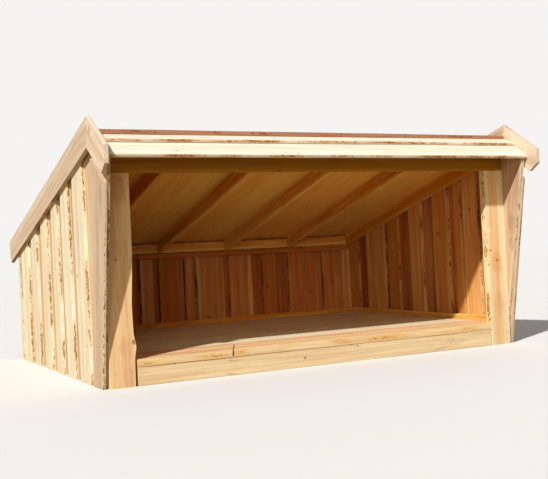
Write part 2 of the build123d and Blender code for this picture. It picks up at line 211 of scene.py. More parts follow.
@dataclass(frozen=True)
class TimberFinish:
    """A sawn timber surface: sapwood at the edges, heartwood inside, rings, knots and bark."""

    name: str
    sapwood: str
    heartwood: str
    latewood: str
    knot: str
    wane: str
    bark_dark: str
    bark_light: str
    weather: str
    stain_and_shade_colour: str = "b57630"
    bark_cover: float = 0.5
    weather_amount: float = 0.0
    ring_strength: float = 0.30
    streak_strength: float = 0.35
    knot_size: float = 1.0
    tone_strength: float = 0.35
    roughness: float = 0.68
    saw_depth_mm: float = 0.5
    ring_scale: float = 1.0
    # This timber's own knots as x, y, z and radius, and its own stains and patches of painted
    # shade, with a strength too
    spots: tuple[tuple[float, float, float, float], ...] = ()
    stains_and_shade: tuple[tuple[float, float, float, float, float], ...] = ()

    def build(self) -> bpy.types.Material:
        """Make the material: a solid grain read from each board's own coordinates.

        Returns:
            The new material.
        """
        material = bare_material(self.name)
        add = partial(add_node, material.node_tree)
        grain = add("ShaderNodeAttribute", attribute_name="grain")["Vector"]
        marks = add("ShaderNodeAttribute", attribute_name="marks")["Vector"]
        split = add("ShaderNodeSeparateXYZ", {0: marks})
        heart, bark, tone = split["X"], split["Y"], split["Z"]
        rings = self._rings(add, grain)
        streaks = self._drawn_out(add, grain, FIBRES, 3.0)
        bands = self._drawn_out(add, grain, BANDS, 2.0)
        speckle = add("ShaderNodeTexNoise",
                      {"Vector": grain, "Scale": SPECKS_PER_M, "Detail": 3.0})["Fac"]
        wood = self._wood_colour(add, grain, heart, rings, (streaks, bands), tone)
        wood = self._stained_and_shaded(add, grain, wood)
        wood = self._knotty(add, grain, wood)
        wood = self._checked(add, grain, self._weathered(add, grain, wood))
        rough = add("ShaderNodeMapRange",
                    {0: streaks, 1: 0.3, 2: 0.7, 3: self.roughness - 0.07, 4: self.roughness + 0.1})
        shader = add("ShaderNodeBsdfPrincipled",
                     {"Base Color": self._barked(add, grain, bark, wood, speckle),
                      "Roughness": rough[0], "IOR": 1.5, "Specular IOR Level": 0.3,
                      "Normal": self._relief(add, grain, rings, streaks, bark, speckle)})
        add("ShaderNodeOutputMaterial", {"Surface": shader[0]})
        return material

    def _rings(self, add: Adder, grain: Socket) -> Socket:
        """Return growth rings around the pith, 0 in early wood and 1 in the late wood's line.

        Args:
            add: the function that adds a node to the finish's tree.
            grain: the board's own coordinates, in metres.

        Returns:
            How late the wood is, from 0 to 1.
        """
        scale = 2.0 * math.pi / (WAVE_RADIANS * RING_WIDTH_M * self.ring_scale)
        slow = add("ShaderNodeMapping", {"Vector": grain, "Scale": RING_BEND})[0]
        bend = add("ShaderNodeTexNoise", {"Vector": slow, "Scale": 4.5, "Detail": 1.0})
        shift = add("ShaderNodeVectorMath", {0: bend["Color"], 1: (0.5, 0.5, 0.5)},
                    operation="SUBTRACT")
        push = add("ShaderNodeVectorMath", {0: shift[0], 1: (0.0, 0.05, 0.05)},
                   operation="MULTIPLY")
        place = add("ShaderNodeVectorMath", {0: slow, 1: push[0]}, operation="ADD")
        wave = add("ShaderNodeTexWave",
                   {"Vector": place[0], "Scale": scale, "Distortion": 1.2, "Detail": 2.0,
                    "Detail Scale": 0.6},
                   wave_type="RINGS", rings_direction="X", wave_profile="SAW")
        return add("ShaderNodeMath", {0: wave["Fac"], 1: 2.6}, operation="POWER")[0]

    def _drawn_out(self, add: Adder, grain: Socket, cells_per_m: Triple, detail: float,
                   roughness: float = 0.6) -> Socket:
        """Return noise drawn out along the board, as fibres, bands and flakes are.

        Args:
            add: the function that adds a node to the finish's tree.
            grain: the board's own coordinates, in metres.
            cells_per_m: how many cells a metre holds along, across and through.
            detail: how many finer layers are added.
            roughness: how strong the finer layers are.

        Returns:
            The noise, from 0 to 1 and mostly near 0.5.
        """
        stretch = add("ShaderNodeMapping", {"Vector": grain, "Scale": cells_per_m})
        return add("ShaderNodeTexNoise",
                   {"Vector": stretch[0], "Scale": 1.0, "Detail": detail,
                    "Roughness": roughness})["Fac"]

    def _wood_colour(self, add: Adder, grain: Socket, heart: Socket, rings: Socket,
                     fibres: Sequence[Socket], tone: Socket) -> Socket:
        """Return sapwood and heartwood, darkened by rings, fibres and the board's own tone.

        Args:
            add: the function that adds a node to the finish's tree.
            grain: the board's own coordinates, in metres.
            heart: 1 in the heart and 0 at the bark.
            rings: how late the wood is.
            fibres: noises that lighten and darken it.
            tone: how light the whole board is, from -1 to 1.

        Returns:
            The colour of clean sawn wood.
        """
        broad = self._drawn_out(add, grain, BROAD_BANDS, 2.0)
        ragged = add("ShaderNodeMath", {0: broad, 1: 0.9, 2: -0.45}, operation="MULTIPLY_ADD")
        edge = add("ShaderNodeMath", {0: heart, 1: ragged[0]}, operation="ADD")
        inside = add("ShaderNodeMapRange", {0: edge[0], 1: 0.30, 2: 0.62},
                     interpolation_type="SMOOTHSTEP")
        base = add("ShaderNodeMix", {0: inside[0], 6: srgb(self.sapwood), 7: srgb(self.heartwood)},
                   data_type="RGBA")
        late = add("ShaderNodeMath", {0: rings, 1: self.ring_strength}, operation="MULTIPLY")
        ringed = add("ShaderNodeMix", {0: late[0], 6: base[2], 7: srgb(self.latewood)},
                     data_type="RGBA")
        value = add("ShaderNodeMath",
                    {0: tone, 1: self.tone_strength, 2: 1.0 - 0.6 * self.tone_strength},
                    operation="MULTIPLY_ADD")[0]
        for streaks in fibres:
            fibre = add("ShaderNodeMapRange",
                        {0: streaks, 1: 0.25, 2: 0.75, 3: 1.0 - self.streak_strength,
                         4: 1.0 + 0.45 * self.streak_strength})
            value = add("ShaderNodeMath", {0: fibre[0], 1: value}, operation="MULTIPLY")[0]
        # Darker fibres are warmer and redder too, as they hold more resin
        resin = add("ShaderNodeMath", {0: value, 1: -0.6, 2: 1.52}, operation="MULTIPLY_ADD")
        warmth = add("ShaderNodeMapRange", {0: value, 1: 0.7, 2: 1.0, 3: 0.478, 4: 0.5})
        return add("ShaderNodeHueSaturation",
                   {"Color": ringed[2], "Value": value, "Saturation": resin[0],
                    "Hue": warmth[0]})[0]

    def _stained_and_shaded(self, add: Adder, grain: Socket, colour: Socket) -> Socket:
        """Return the colour with this timber's own resin stains and patches of painted shade, twice
        as long as they are wide.

        Args:
            add: the function that adds a node to the finish's tree.
            grain: the board's own coordinates, in metres.
            colour: the wood's colour.

        Returns:
            The stained colour.
        """
        if not self.stains_and_shade:
            return colour
        place = add("ShaderNodeTexCoord")["Object"]
        drawn = add("ShaderNodeMapping", {"Vector": place, "Scale": (1.0, 1.0, 0.5)})
        cloud = self._drawn_out(add, grain, RESIN_CLOUDS, 3.0)
        for x, y, z, radius, strength in self.stains_and_shade:
            away = add("ShaderNodeVectorMath", {0: drawn[0], 1: (x, y, 0.5 * z)},
                       operation="DISTANCE")
            uneven = add("ShaderNodeMath", {0: cloud, 1: 1.6 * radius, 2: away["Value"]},
                         operation="MULTIPLY_ADD")
            patch = add("ShaderNodeMapRange",
                        {0: uneven[0], 1: radius * 2.2, 2: radius * 1.4, 3: 0.0, 4: strength},
                        interpolation_type="SMOOTHSTEP")
            colour = add("ShaderNodeMix", {0: patch[0], 6: colour, 7: srgb(self.stain_and_shade_colour)},
                         data_type="RGBA")[2]
        return colour

    def _knotty(self, add: Adder, grain: Socket, colour: Socket) -> Socket:
        """Return the colour with dark knots, 8 to 24 mm across, about one to each metre of board.

        The knots that this timber alone has stand at their own places.

        Args:
            add: the function that adds a node to the finish's tree.
            grain: the board's own coordinates, in metres.
            colour: the wood's colour.

        Returns:
            The colour with its knots.
        """
        cells = add("ShaderNodeTexVoronoi",
                    {"Vector": grain, "Scale": KNOT_CELLS_PER_M, "Randomness": 1.0},
                    voronoi_dimensions="2D")
        pick = add("ShaderNodeSeparateColor", {0: cells["Color"]})
        size = add("ShaderNodeMapRange",
                   {0: pick[0], 1: 0.25, 2: 1.0, 3: 0.001, 4: 0.026 * self.knot_size})
        inner = add("ShaderNodeMath", {0: cells["Distance"], 1: size[0]}, operation="DIVIDE")
        knots = add("ShaderNodeMapRange", {0: inner[0], 1: 1.25, 2: 0.75, 3: 0.0, 4: 0.9},
                    interpolation_type="SMOOTHSTEP")[0]
        if self.spots:
            place = add("ShaderNodeTexCoord")["Object"]
            wobble = add("ShaderNodeTexNoise", {"Vector": place, "Scale": 60.0})["Fac"]
        for x, y, z, radius in self.spots:
            away = add("ShaderNodeVectorMath", {0: place, 1: (x, y, z)}, operation="DISTANCE")
            uneven = add("ShaderNodeMath", {0: wobble, 1: radius, 2: away["Value"]},
                         operation="MULTIPLY_ADD")
            spot = add("ShaderNodeMapRange",
                       {0: uneven[0], 1: radius * 1.7, 2: radius * 1.2, 3: 0.0, 4: 0.85},
                       interpolation_type="SMOOTHSTEP")
            knots = add("ShaderNodeMath", {0: knots, 1: spot[0]}, operation="MAXIMUM")[0]
        return add("ShaderNodeMix", {0: knots, 6: colour, 7: srgb(self.knot)}, data_type="RGBA")[2]

    def _weathered(self, add: Adder, grain: Socket, colour: Socket) -> Socket:
        """Return the colour with grey or tan weathering in long ragged patches.

        Args:
            add: the function that adds a node to the finish's tree.
            grain: the board's own coordinates, in metres.
            colour: the wood's colour.

        Returns:
            The weathered colour.
        """
        patch = add("ShaderNodeMapRange",
                    {0: self._drawn_out(add, grain, RAIN_MARKS, 5.0, 0.5), 1: 0.36, 2: 0.66,
                     3: 0.35 * self.weather_amount, 4: self.weather_amount})
        return add("ShaderNodeMix", {0: patch[0], 6: colour, 7: srgb(self.weather)},
                   data_type="RGBA")[2]

    def _checked(self, add: Adder, grain: Socket, colour: Socket) -> Socket:
        """Return the colour with drying checks: short dark cracks 2 mm wide along the grain.

        Args:
            add: the function that adds a node to the finish's tree.
            grain: the board's own coordinates, in metres.
            colour: the wood's colour.

        Returns:
            The colour with its cracks.
        """
        line = add("ShaderNodeMath", {0: self._drawn_out(add, grain, CHECKS, 1.0), 1: 0.5},
                   operation="SUBTRACT")
        away = add("ShaderNodeMath", {0: line[0]}, operation="ABSOLUTE")
        near = add("ShaderNodeMapRange", {0: away[0], 1: 0.014, 2: 0.004})
        some = add("ShaderNodeMapRange",
                   {0: self._drawn_out(add, grain, CHECKED_LENGTHS, 1.0), 1: 0.63, 2: 0.70, 3: 0.0,
                    4: 0.55})
        crack = add("ShaderNodeMath", {0: near[0], 1: some[0]}, operation="MULTIPLY")
        return add("ShaderNodeMix", {0: crack[0], 6: colour, 7: srgb(self.knot)},
                   data_type="RGBA")[2]

    def _barked(self, add: Adder, grain: Socket, bark: Socket, wood: Socket,
                speckle: Socket) -> Socket:
        """Return the wood with its wane: smooth golden wood with flakes of bark left on it.

        Args:
            add: the function that adds a node to the finish's tree.
            grain: the board's own coordinates, in metres.
            bark: 1 on the wane and 0 on sawn faces.
            wood: the sawn wood's colour.
            speckle: fine noise.

        Returns:
            The colour of the whole board.
        """
        length = self._drawn_out(add, grain, BARK_LENGTHS, 1.0)
        bare = add("ShaderNodeMapRange", {0: bark, 1: 0.15, 2: 0.9, 3: 0.0, 4: 0.9})
        golden = add("ShaderNodeMapRange", {0: length, 1: 0.38, 2: 0.62, 3: 0.15, 4: 1.0})
        tinted = add("ShaderNodeMath", {0: bare[0], 1: golden[0]}, operation="MULTIPLY")
        edge = add("ShaderNodeMix", {0: tinted[0], 6: wood, 7: srgb(self.wane)}, data_type="RGBA")
        tint = add("ShaderNodeMapRange", {0: speckle, 1: 0.42, 2: 0.60})
        skin = add("ShaderNodeMix", {0: tint[0], 6: srgb(self.bark_dark), 7: srgb(self.bark_light)},
                   data_type="RGBA")
        flake = self._drawn_out(add, grain, BARK_FLAKES, 4.0, 0.65)
        fine = add("ShaderNodeMath", {0: speckle, 1: 0.45, 2: -0.225}, operation="MULTIPLY_ADD")
        cling = add("ShaderNodeMapRange", {0: length, 1: 0.36, 2: 0.64, 3: -0.15, 4: 0.05})
        held = add("ShaderNodeMath", {0: flake, 1: fine[0]}, operation="ADD")
        here = add("ShaderNodeMath", {0: held[0], 1: cling[0]}, operation="ADD")
        amount = add("ShaderNodeMath", {0: bark, 1: self.bark_cover, 2: here[0]},
                     operation="MULTIPLY_ADD")
        flakes = add("ShaderNodeMapRange", {0: amount[0], 1: 0.94, 2: 1.02, 3: 0.0, 4: 0.92})
        return add("ShaderNodeMix", {0: flakes[0], 6: edge[2], 7: skin[2]}, data_type="RGBA")[2]

    def _relief(self, add: Adder, grain: Socket, rings: Socket, streaks: Socket, bark: Socket,
                speckle: Socket) -> Socket:
        """Return the bump: raised late wood, fibres, saw marks across the board, rough bark.

        Args:
            add: the function that adds a node to the finish's tree.
            grain: the board's own coordinates, in metres.
            rings: how late the wood is.
            streaks: the fibres' noise.
            bark: 1 on the wane and 0 on sawn faces.
            speckle: fine noise.

        Returns:
            The bumped normal.
        """
        teeth = self._drawn_out(add, grain, SAW_MARKS, 1.0, 0.5)
        ringed = add("ShaderNodeMath", {0: rings, 1: 0.5, 2: teeth}, operation="MULTIPLY_ADD")
        fibrous = add("ShaderNodeMath", {0: streaks, 1: 1.5, 2: ringed[0]},
                      operation="MULTIPLY_ADD")
        rough = add("ShaderNodeMath", {0: bark, 1: speckle}, operation="MULTIPLY")
        height = add("ShaderNodeMath", {0: rough[0], 1: 6.0, 2: fibrous[0]},
                     operation="MULTIPLY_ADD")
        return add("ShaderNodeBump",
                   {"Height": height[0], "Strength": 0.6,
                    "Distance": self.saw_depth_mm / 1000.0})[0]


@dataclass(frozen=True)
class SteelFinish:
    """Galvanised wire nails: dull grey zinc, slightly uneven, with soft highlights."""

    name: str = "galvanised_steel"
    colour: str = "8e8f8c"
    roughness: float = 0.45
    spangles_per_m: float = 240.0

    def build(self) -> bpy.types.Material:
        """Make the material and return it.

        Returns:
            The new material.
        """
        material = bare_material(self.name)
        add = partial(add_node, material.node_tree)
        place = add("ShaderNodeTexCoord")["Object"]
        cloud = add("ShaderNodeTexNoise",
                    {"Vector": place, "Scale": self.spangles_per_m, "Detail": 2.0})
        rough = add("ShaderNodeMapRange",
                    {0: cloud["Fac"], 1: 0.3, 2: 0.7, 3: self.roughness - 0.1,
                     4: self.roughness + 0.15})
        shader = add("ShaderNodeBsdfPrincipled",
                     {"Base Color": srgb(self.colour), "Metallic": 1.0, "Roughness": rough[0]})
        add("ShaderNodeOutputMaterial", {"Surface": shader[0]})
        return material


class Timber(Enum):
    """The finishes of the boards and beams. All but the ceiling's are larch."""

    # Fresh larch off the saw: cream sapwood, honey heartwood, pale wane with flakes of dark bark
    PALE = TimberFinish(
        name="fresh_sawn_larch", sapwood="f5eecc", heartwood="f0deb0", latewood="d2a567",
        knot="6a4020", wane="debf88", bark_dark="58391f", bark_light="a87a4c", weather="efe0b9",
        bark_cover=0.49, weather_amount=0.25, tone_strength=0.08, streak_strength=0.20,
        ring_strength=0.26,
    )
    # The visor boards lie in full sun and have bleached to cream
    BLEACHED = TimberFinish(
        name="sun_bleached_larch", sapwood="efe5cf", heartwood="ebdcbf", latewood="d3a46d",
        knot="6a4020", wane="d4a266", bark_dark="5c3a20", bark_light="a8713c", weather="e0d3bc",
        bark_cover=0.48, weather_amount=0.4, tone_strength=0.06, streak_strength=0.14,
        ring_strength=0.18,
    )
    # The left post: golden tan with faint upright streaks, brown where the resin ran low down, and
    # two brown patches at its top that are painted shade under the header
    TAN_POST = TimberFinish(
        name="tan_sawn_larch", sapwood="fbe4b4", heartwood="f7cf92", latewood="d99f60",
        knot="6a3d1a", wane="ebc88b", bark_dark="4a2f1c", bark_light="9a6a3e", weather="f4d29c",
        bark_cover=0.42, weather_amount=0.4, tone_strength=0.08, streak_strength=0.15,
        ring_strength=0.26,
        spots=((-1.61, -1.2775, 0.315, 0.020), (-1.72, -1.2775, 0.90, 0.010)),
        # The first two patches, at the top under the header, are painted shade; the rest are resin
        # stains
        stains_and_shade=((-1.70, -1.2775, 1.45, 0.09, 0.60), (-1.68, -1.2775, 1.40, 0.05, 0.60),
                (-1.71, -1.2775, 0.97, 0.04, 0.35), (-1.67, -1.2775, 0.27, 0.045, 0.28),
                (-1.65, -1.2775, 0.08, 0.045, 0.28)),
    )
    # The right post: cream sapwood both sides of a golden heart, with knots, bark specks and an
    # orange stain round the knots
    HONEY_POST = TimberFinish(
        name="honey_sawn_larch", sapwood="fce8ba", heartwood="f6c886", latewood="dfa460",
        knot="7a4620", wane="edd08d", bark_dark="5a361b", bark_light="ad7640", weather="f8dca6",
        stain_and_shade_colour="d98a44", bark_cover=0.46, weather_amount=0.25, tone_strength=0.08,
        streak_strength=0.10, ring_strength=0.24,
        spots=((1.695, -1.2775, 0.732, 0.013), (1.602, -1.2775, 0.699, 0.010),
               (1.629, -1.2775, 0.818, 0.011)),
        stains_and_shade=((1.70, -1.2775, 0.71, 0.05, 0.50), (1.70, -1.2775, 0.36, 0.05, 0.35)),
    )
    # The wing boards have greyed a little: pinkish tan with cream streaks and brown smudges
    TAN = TimberFinish(
        name="weathering_sawn_larch", sapwood="ead8b2", heartwood="dec097", latewood="b58c62",
        knot="54331d", wane="e8d2a6", bark_dark="4a2f1c", bark_light="9a6a44", weather="d0b899",
        stain_and_shade_colour="8f6238", bark_cover=0.46, weather_amount=0.6, tone_strength=0.12,
        streak_strength=0.36, ring_strength=0.30,
        stains_and_shade=((1.80, -1.38, 1.04, 0.045, 0.55), (1.80, -1.36, 0.86, 0.030, 0.6),
                (-1.85, -1.42, 1.36, 0.04, 0.40), (-1.85, -1.40, 0.50, 0.05, 0.35)),
    )
    # Barge boards: the same greyed larch, with a brown bark line left on the edges
    BARGE = TimberFinish(
        name="weathering_barge_larch", sapwood="ecddb5", heartwood="dec59a", latewood="b28c63",
        knot="54331d", wane="ae804e", bark_dark="3d2416", bark_light="8c5a34", weather="ceb89c",
        bark_cover=0.44, weather_amount=0.7, tone_strength=0.12, streak_strength=0.26,
        ring_strength=0.25,
    )
    # The front pair of barge boards is newer and paler, with an orange stain where the sap ran
    BARGE_FRONT = TimberFinish(
        name="fresh_barge_larch", sapwood="f1e1c8", heartwood="ebd3af", latewood="d4a679",
        knot="c88a4e", wane="c39866", bark_dark="6a452a", bark_light="a8764c", weather="e9d3b5",
        bark_cover=0.42, weather_amount=0.5, tone_strength=0.06, streak_strength=0.30,
        ring_strength=0.26, spots=((-1.88, -1.33, 1.80, 0.035), (1.88, -1.33, 1.80, 0.035)),
    )
    # Heartwood boards that line the inside: orange-brown to honey, with large knots, and darker
    # than the cladding outside as painted shade of the inside
    HEART = TimberFinish(
        name="shaded_heartwood_lining", sapwood="eab768", heartwood="da974d", latewood="ab6830",
        knot="56301a", wane="965c2c", bark_dark="28150a", bark_light="6c3f1c", weather="bd7d41",
        bark_cover=0.56, weather_amount=0.35, tone_strength=0.22, streak_strength=0.22,
        ring_strength=0.26, knot_size=1.8,
    )
    # The right wall's lining stands nearer to the open front: a lighter copy of the lining, as
    # painted light of the sun there, with less bark
    LINING = replace(
        HEART, name="sunlit_larch_lining", sapwood="fad68d", heartwood="f0b868",
        latewood="be7f3a", weather="d69d55", wane="aa7038", bark_cover=0.50,
    )
    # The side of a cladding board that shows through the gaps: bark side, stained, and darkened as
    # painted shade of the recess between the lining boards
    BACK = TimberFinish(
        name="shaded_bark_side_larch", sapwood="d08f50", heartwood="ba783e", latewood="8d5629",
        knot="3a1e0d", wane="915e37", bark_dark="28150a", bark_light="6c3f1c", weather="ae713e",
        weather_amount=0.35, tone_strength=0.2, streak_strength=0.26,
    )
    # The outer side of a lining board, seen in the gaps of the cladding: wane and speckled bark
    SLAB = TimberFinish(
        name="speckled_slab_larch", sapwood="f2ddb4", heartwood="e4c797", latewood="b68a5c",
        knot="4a2a16", wane="e4c799", bark_dark="5c3b22", bark_light="b07c4a", weather="d2b287",
        weather_amount=0.3, tone_strength=0.16, streak_strength=0.26,
    )
    # Finely sawn frame timbers: honey to orange
    FRAME = TimberFinish(
        name="sawn_larch_frame", sapwood="fcd16e", heartwood="f0b14c", latewood="bb7e33",
        knot="47280f", wane="c3904a", bark_dark="4a2a13", bark_light="a0632c", weather="e5af51",
        weather_amount=0.2, tone_strength=0.16, streak_strength=0.18,
    )
    # The header stays in shade under the visor: its olive-brown is painted shade, darker than the
    # same larch in the posts
    HEADER = TimberFinish(
        name="shade_darkened_header_larch", sapwood="c29213", heartwood="b37f0f", latewood="8a630f",
        knot="42200f", wane="986c21", bark_dark="3b2413", bark_light="80562a", weather="a98613",
        weather_amount=0.35, tone_strength=0.1, streak_strength=0.22,
        spots=((-0.384, -1.2775, 1.520, 0.013),),
    )
    # Floor planks, rough off the saw and trodden: pale buff with long brown streaks
    FLOOR = TimberFinish(
        name="trodden_rough_sawn_larch", sapwood="fcfbdf", heartwood="faecc3", latewood="c7ab7f",
        knot="5a3a26", wane="b79366", bark_dark="4c3020", bark_light="a8764c", weather="eee0bd",
        weather_amount=0.5, tone_strength=0.12, streak_strength=0.28, roughness=0.78,
        saw_depth_mm=0.9,
    )
    # Front planks and bearer, washed pale gold by sun and rain, with an orange wane
    STEP = TimberFinish(
        name="sun_washed_larch", sapwood="f4dca8", heartwood="eebc80", latewood="d69256",
        knot="7b4a26", wane="e1b46e", bark_dark="9a5c2c", bark_light="c98a4a", weather="f0d29c",
        bark_cover=0.40, weather_amount=0.25, tone_strength=0.08, streak_strength=0.15,
        ring_strength=0.26,
    )
    # Ceiling sheets: rotary-cut veneer, smooth, with very wide faint rings
    VENEER = TimberFinish(
        name="softwood_plywood", sapwood="fcd86f", heartwood="fcc85d", latewood="e0a850",
        knot="7c4e22", wane="b27f3e", bark_dark="7c4e22", bark_light="a87236", weather="f6c562",
        weather_amount=0.3, tone_strength=0.06, streak_strength=0.10, ring_strength=0.16,
        ring_scale=2.2, roughness=0.6, saw_depth_mm=0.15,
    )
    # Roof boards: reddish-brown heartwood and bark, darkened by rain
    ROOF = TimberFinish(
        name="rain_darkened_larch", sapwood="b4855d", heartwood="9c6844", latewood="794c2f",
        knot="3a2015", wane="a06546", bark_dark="4a2618", bark_light="b0694a", weather="95785f",
        weather_amount=0.6, tone_strength=0.24, streak_strength=0.30,
    )


@dataclass(frozen=True)
class Axes:
    """A board's own directions: along its length, across its width and out of its good face."""

    along: Triple
    across: Triple
    out: Triple

    def local(self, points: np.ndarray) -> np.ndarray:
        """Return the points in the board's own directions."""
        return points @ np.array([self.along, self.across, self.out], float).T

    def world(self, points: np.ndarray) -> np.ndarray:
        """Return points given in the board's own directions in the frame's."""
        return points @ np.array([self.along, self.across, self.out], float)


@dataclass(frozen=True)
class Cut:
    """How the boards of one node were sawn."""

    axes: Axes
    low_edge: Edge = Edge.SAWN
    high_edge: Edge = Edge.SAWN
    # A waney edge's wander along the board, its slant through the thickness, and the log's taper
    wander_m: float = 0.008
    wane_m: float = 0.012
    taper_m: float = 0.012
    # How much of the width is heartwood, and how light or dark the boards are, both at random
    heart: Span = (0.35, 0.8)
    tone: Span = (-1.0, 1.0)
    # How much bark is left on the back, at random
    back_bark: Span = (0.0, 0.0)
    # The first board's low edge is sawn, as it stands in a corner
    first_sawn: bool = False
    # How far the low and the high edge stand back, and a notched edge's depth at each distance
    trim: Span = (0.0, 0.0)
    nick: Sequence[Span] = ()
    # Rows of nails at distances from the start, or from the end if below 0, and at fixed places
    nail_rows: tuple[float, ...] = ()
    nail_lines: tuple[float, ...] = ()
    nail_inset_m: float = 0.045


@dataclass
class Skin:
    """Vertices, faces and grain of a piece, gathered board by board."""

    points: list[np.ndarray] = field(default_factory=list)
    grain: list[np.ndarray] = field(default_factory=list)
    marks: list[np.ndarray] = field(default_factory=list)
    faces: list[tuple[int, ...]] = field(default_factory=list)
    sides: list[int] = field(default_factory=list)
    count: int = 0

    def add(self, points: np.ndarray, grain: np.ndarray, marks: np.ndarray,
            faces: Sequence[tuple[int, ...]], sides: Sequence[int]) -> None:
        """Add one board's points, its grain coordinates, marks, faces and their sides.

        Args:
            points: the board's points.
            grain: its own coordinates at each point.
            marks: the heart, bark and tone of each point.
            faces: its faces, as numbers of its points.
            sides: the number of each face's finish.
        """
        self.points.append(points)
        self.grain.append(grain)
        self.marks.append(marks)
        self.faces.extend(tuple(i + self.count for i in face) for face in faces)
        self.sides.extend(sides)
        self.count += len(points)

    def build(self, name: str, finishes: Sequence[bpy.types.Material]) -> bpy.types.Object:
        """Make the mesh object with its normals outwards and its sharp edges marked.

        Args:
            name: the piece's name.
            finishes: the material of the good face and edges, then that of the back.

        Returns:
            The new object, at the origin.
        """
        mesh = bpy.data.meshes.new(name)
        mesh.from_pydata(np.concatenate(self.points).tolist(), [], self.faces)
        for label, rows in (("grain", self.grain), ("marks", self.marks)):
            layer = mesh.attributes.new(label, "FLOAT_VECTOR", "POINT")
            layer.data.foreach_set("vector", np.concatenate(rows).astype(np.float32).ravel())
        tidy = bmesh.new()
        tidy.from_mesh(mesh)
        bmesh.ops.recalc_face_normals(tidy, faces=tidy.faces)
        tidy.to_mesh(mesh)
        tidy.free()
        mesh.polygons.foreach_set("use_smooth", [True] * len(mesh.polygons))
        mesh.set_sharp_from_angle(angle=math.radians(SHARP_ANGLE_DEG))
        for finish in finishes:
            mesh.materials.append(finish)
        if len(finishes) > 1:
            mesh.polygons.foreach_set("material_index", self.sides)
        return put_in_scene(name, mesh)


def seeded(name: str) -> np.random.Generator:
    """Return random numbers that are the same on each run for the name."""
    return np.random.default_rng(zlib.crc32(name.encode()))


def solids_of(node: bpy.types.Object) -> list[np.ndarray]:
    """Return the corner points of each solid in a CAD node.

    Args:
        node: the node's object. Its mesh is read and left alone.

    Returns:
        One array of unique corners for each solid, in order along X, then Y, then Z.
    """
    copy = bmesh.new()
    copy.from_mesh(node.data)
    bmesh.ops.remove_doubles(copy, verts=copy.verts, dist=MERGE_M)
    copy.verts.ensure_lookup_table()
    seen: set[int] = set()
    solids = []
    for vertex in copy.verts:
        if vertex.index in seen:
            continue
        stack = [vertex]
        seen.add(vertex.index)
        corners = []
        while stack:
            corner = stack.pop()
            corners.append(tuple(corner.co))
            for link in corner.link_edges:
                other = link.other_vert(corner)
                if other.index not in seen:
                    seen.add(other.index)
                    stack.append(other)
        solids.append(np.array(corners))
    copy.free()
    return sorted(solids, key=lambda points: tuple(np.round(points.min(0), 4)))


def outline_of(flat: np.ndarray) -> np.ndarray:
    """Return the convex outline of points in a plane, turning one way.

    Args:
        flat: the points, in any order.

    Returns:
        The outline's corners.
    """
    order = sorted({(round(float(a), 6), round(float(b), 6)) for a, b in flat})
    halves = []
    for run in (order, order[::-1]):
        chain: list[tuple[float, float]] = []
        for point in run:
            while len(chain) > 1 and turn(chain[-2], chain[-1], point) <= 1e-9:
                chain.pop()
            chain.append(point)
        halves.append(chain[:-1])
    return np.array(halves[0] + halves[1])


def turn(a: Sequence[float], b: Sequence[float], c: Sequence[float]) -> float:
    """Return twice the signed area of the triangle a, b, c."""
    return (b[0] - a[0]) * (c[1] - a[1]) - (b[1] - a[1]) * (c[0] - a[0])


@dataclass
class Patch:
    """A board's plan: matching points on its two ends, from its low edge to its high edge."""

    share: np.ndarray
    start: np.ndarray
    end: np.ndarray

    @classmethod
    def from_outline(cls, outline: np.ndarray) -> "Patch":
        """Find the two ends of a board's outline, whatever number of corners they have.

        Args:
            outline: the convex outline, as (along, across) points that turn one way.

        Returns:
            The patch between the two ends.
        """
        along, across = outline[:, 0], outline[:, 1]
        low_start = int(np.argmin(along + across))
        high_start = int(np.argmin(along - across))
        low_end = int(np.argmax(along - across))
        high_end = int(np.argmax(along + across))
        first = cls._chain(outline, high_start, low_start)[::-1]
        last = cls._chain(outline, low_end, high_end)
        shares = np.unique(np.concatenate([cls._shares(first), cls._shares(last)]).round(6))
        return cls(shares, cls._at(first, shares), cls._at(last, shares))

    @staticmethod
    def _chain(outline: np.ndarray, begin: int, finish: int) -> np.ndarray:
        """Return the outline's points from one corner on to another.

        Args:
            outline: the outline's corners.
            begin: the first corner's number.
            finish: the last corner's number.

        Returns:
            The points from the first to the last.
        """
        picked = [outline[begin]]
        step = begin
        while step != finish:
            step = (step + 1) % len(outline)
            picked.append(outline[step])
        return np.array(picked)

    @staticmethod
    def _shares(chain: np.ndarray) -> np.ndarray:
        """Return how far across the board each point of an end lies, from 0 to 1."""
        across = chain[:, 1]
        return (across - across[0]) / (across[-1] - across[0])

    @classmethod
    def _at(cls, chain: np.ndarray, shares: np.ndarray) -> np.ndarray:
        """Return the end's points at the given shares of the width."""
        own = cls._shares(chain)
        return np.stack([np.interp(shares, own, chain[:, k]) for k in (0, 1)], axis=1)

    def point(self, length_share: np.ndarray, width_share: np.ndarray) -> np.ndarray:
        """Return (along, across) points at shares of the length and of the width.

        Args:
            length_share: 0 at the start and 1 at the end of the board.
            width_share: 0 at its low edge and 1 at its high edge.

        Returns:
            The points, with two numbers in the last dimension.
        """
        ends = []
        for chain in (self.start, self.end):
            ends.append(np.stack([np.interp(width_share, self.share, chain[:, k]) for k in (0, 1)],
                                 axis=-1))
        step = length_share[..., None]
        return ends[0] * (1.0 - step) + ends[1] * step


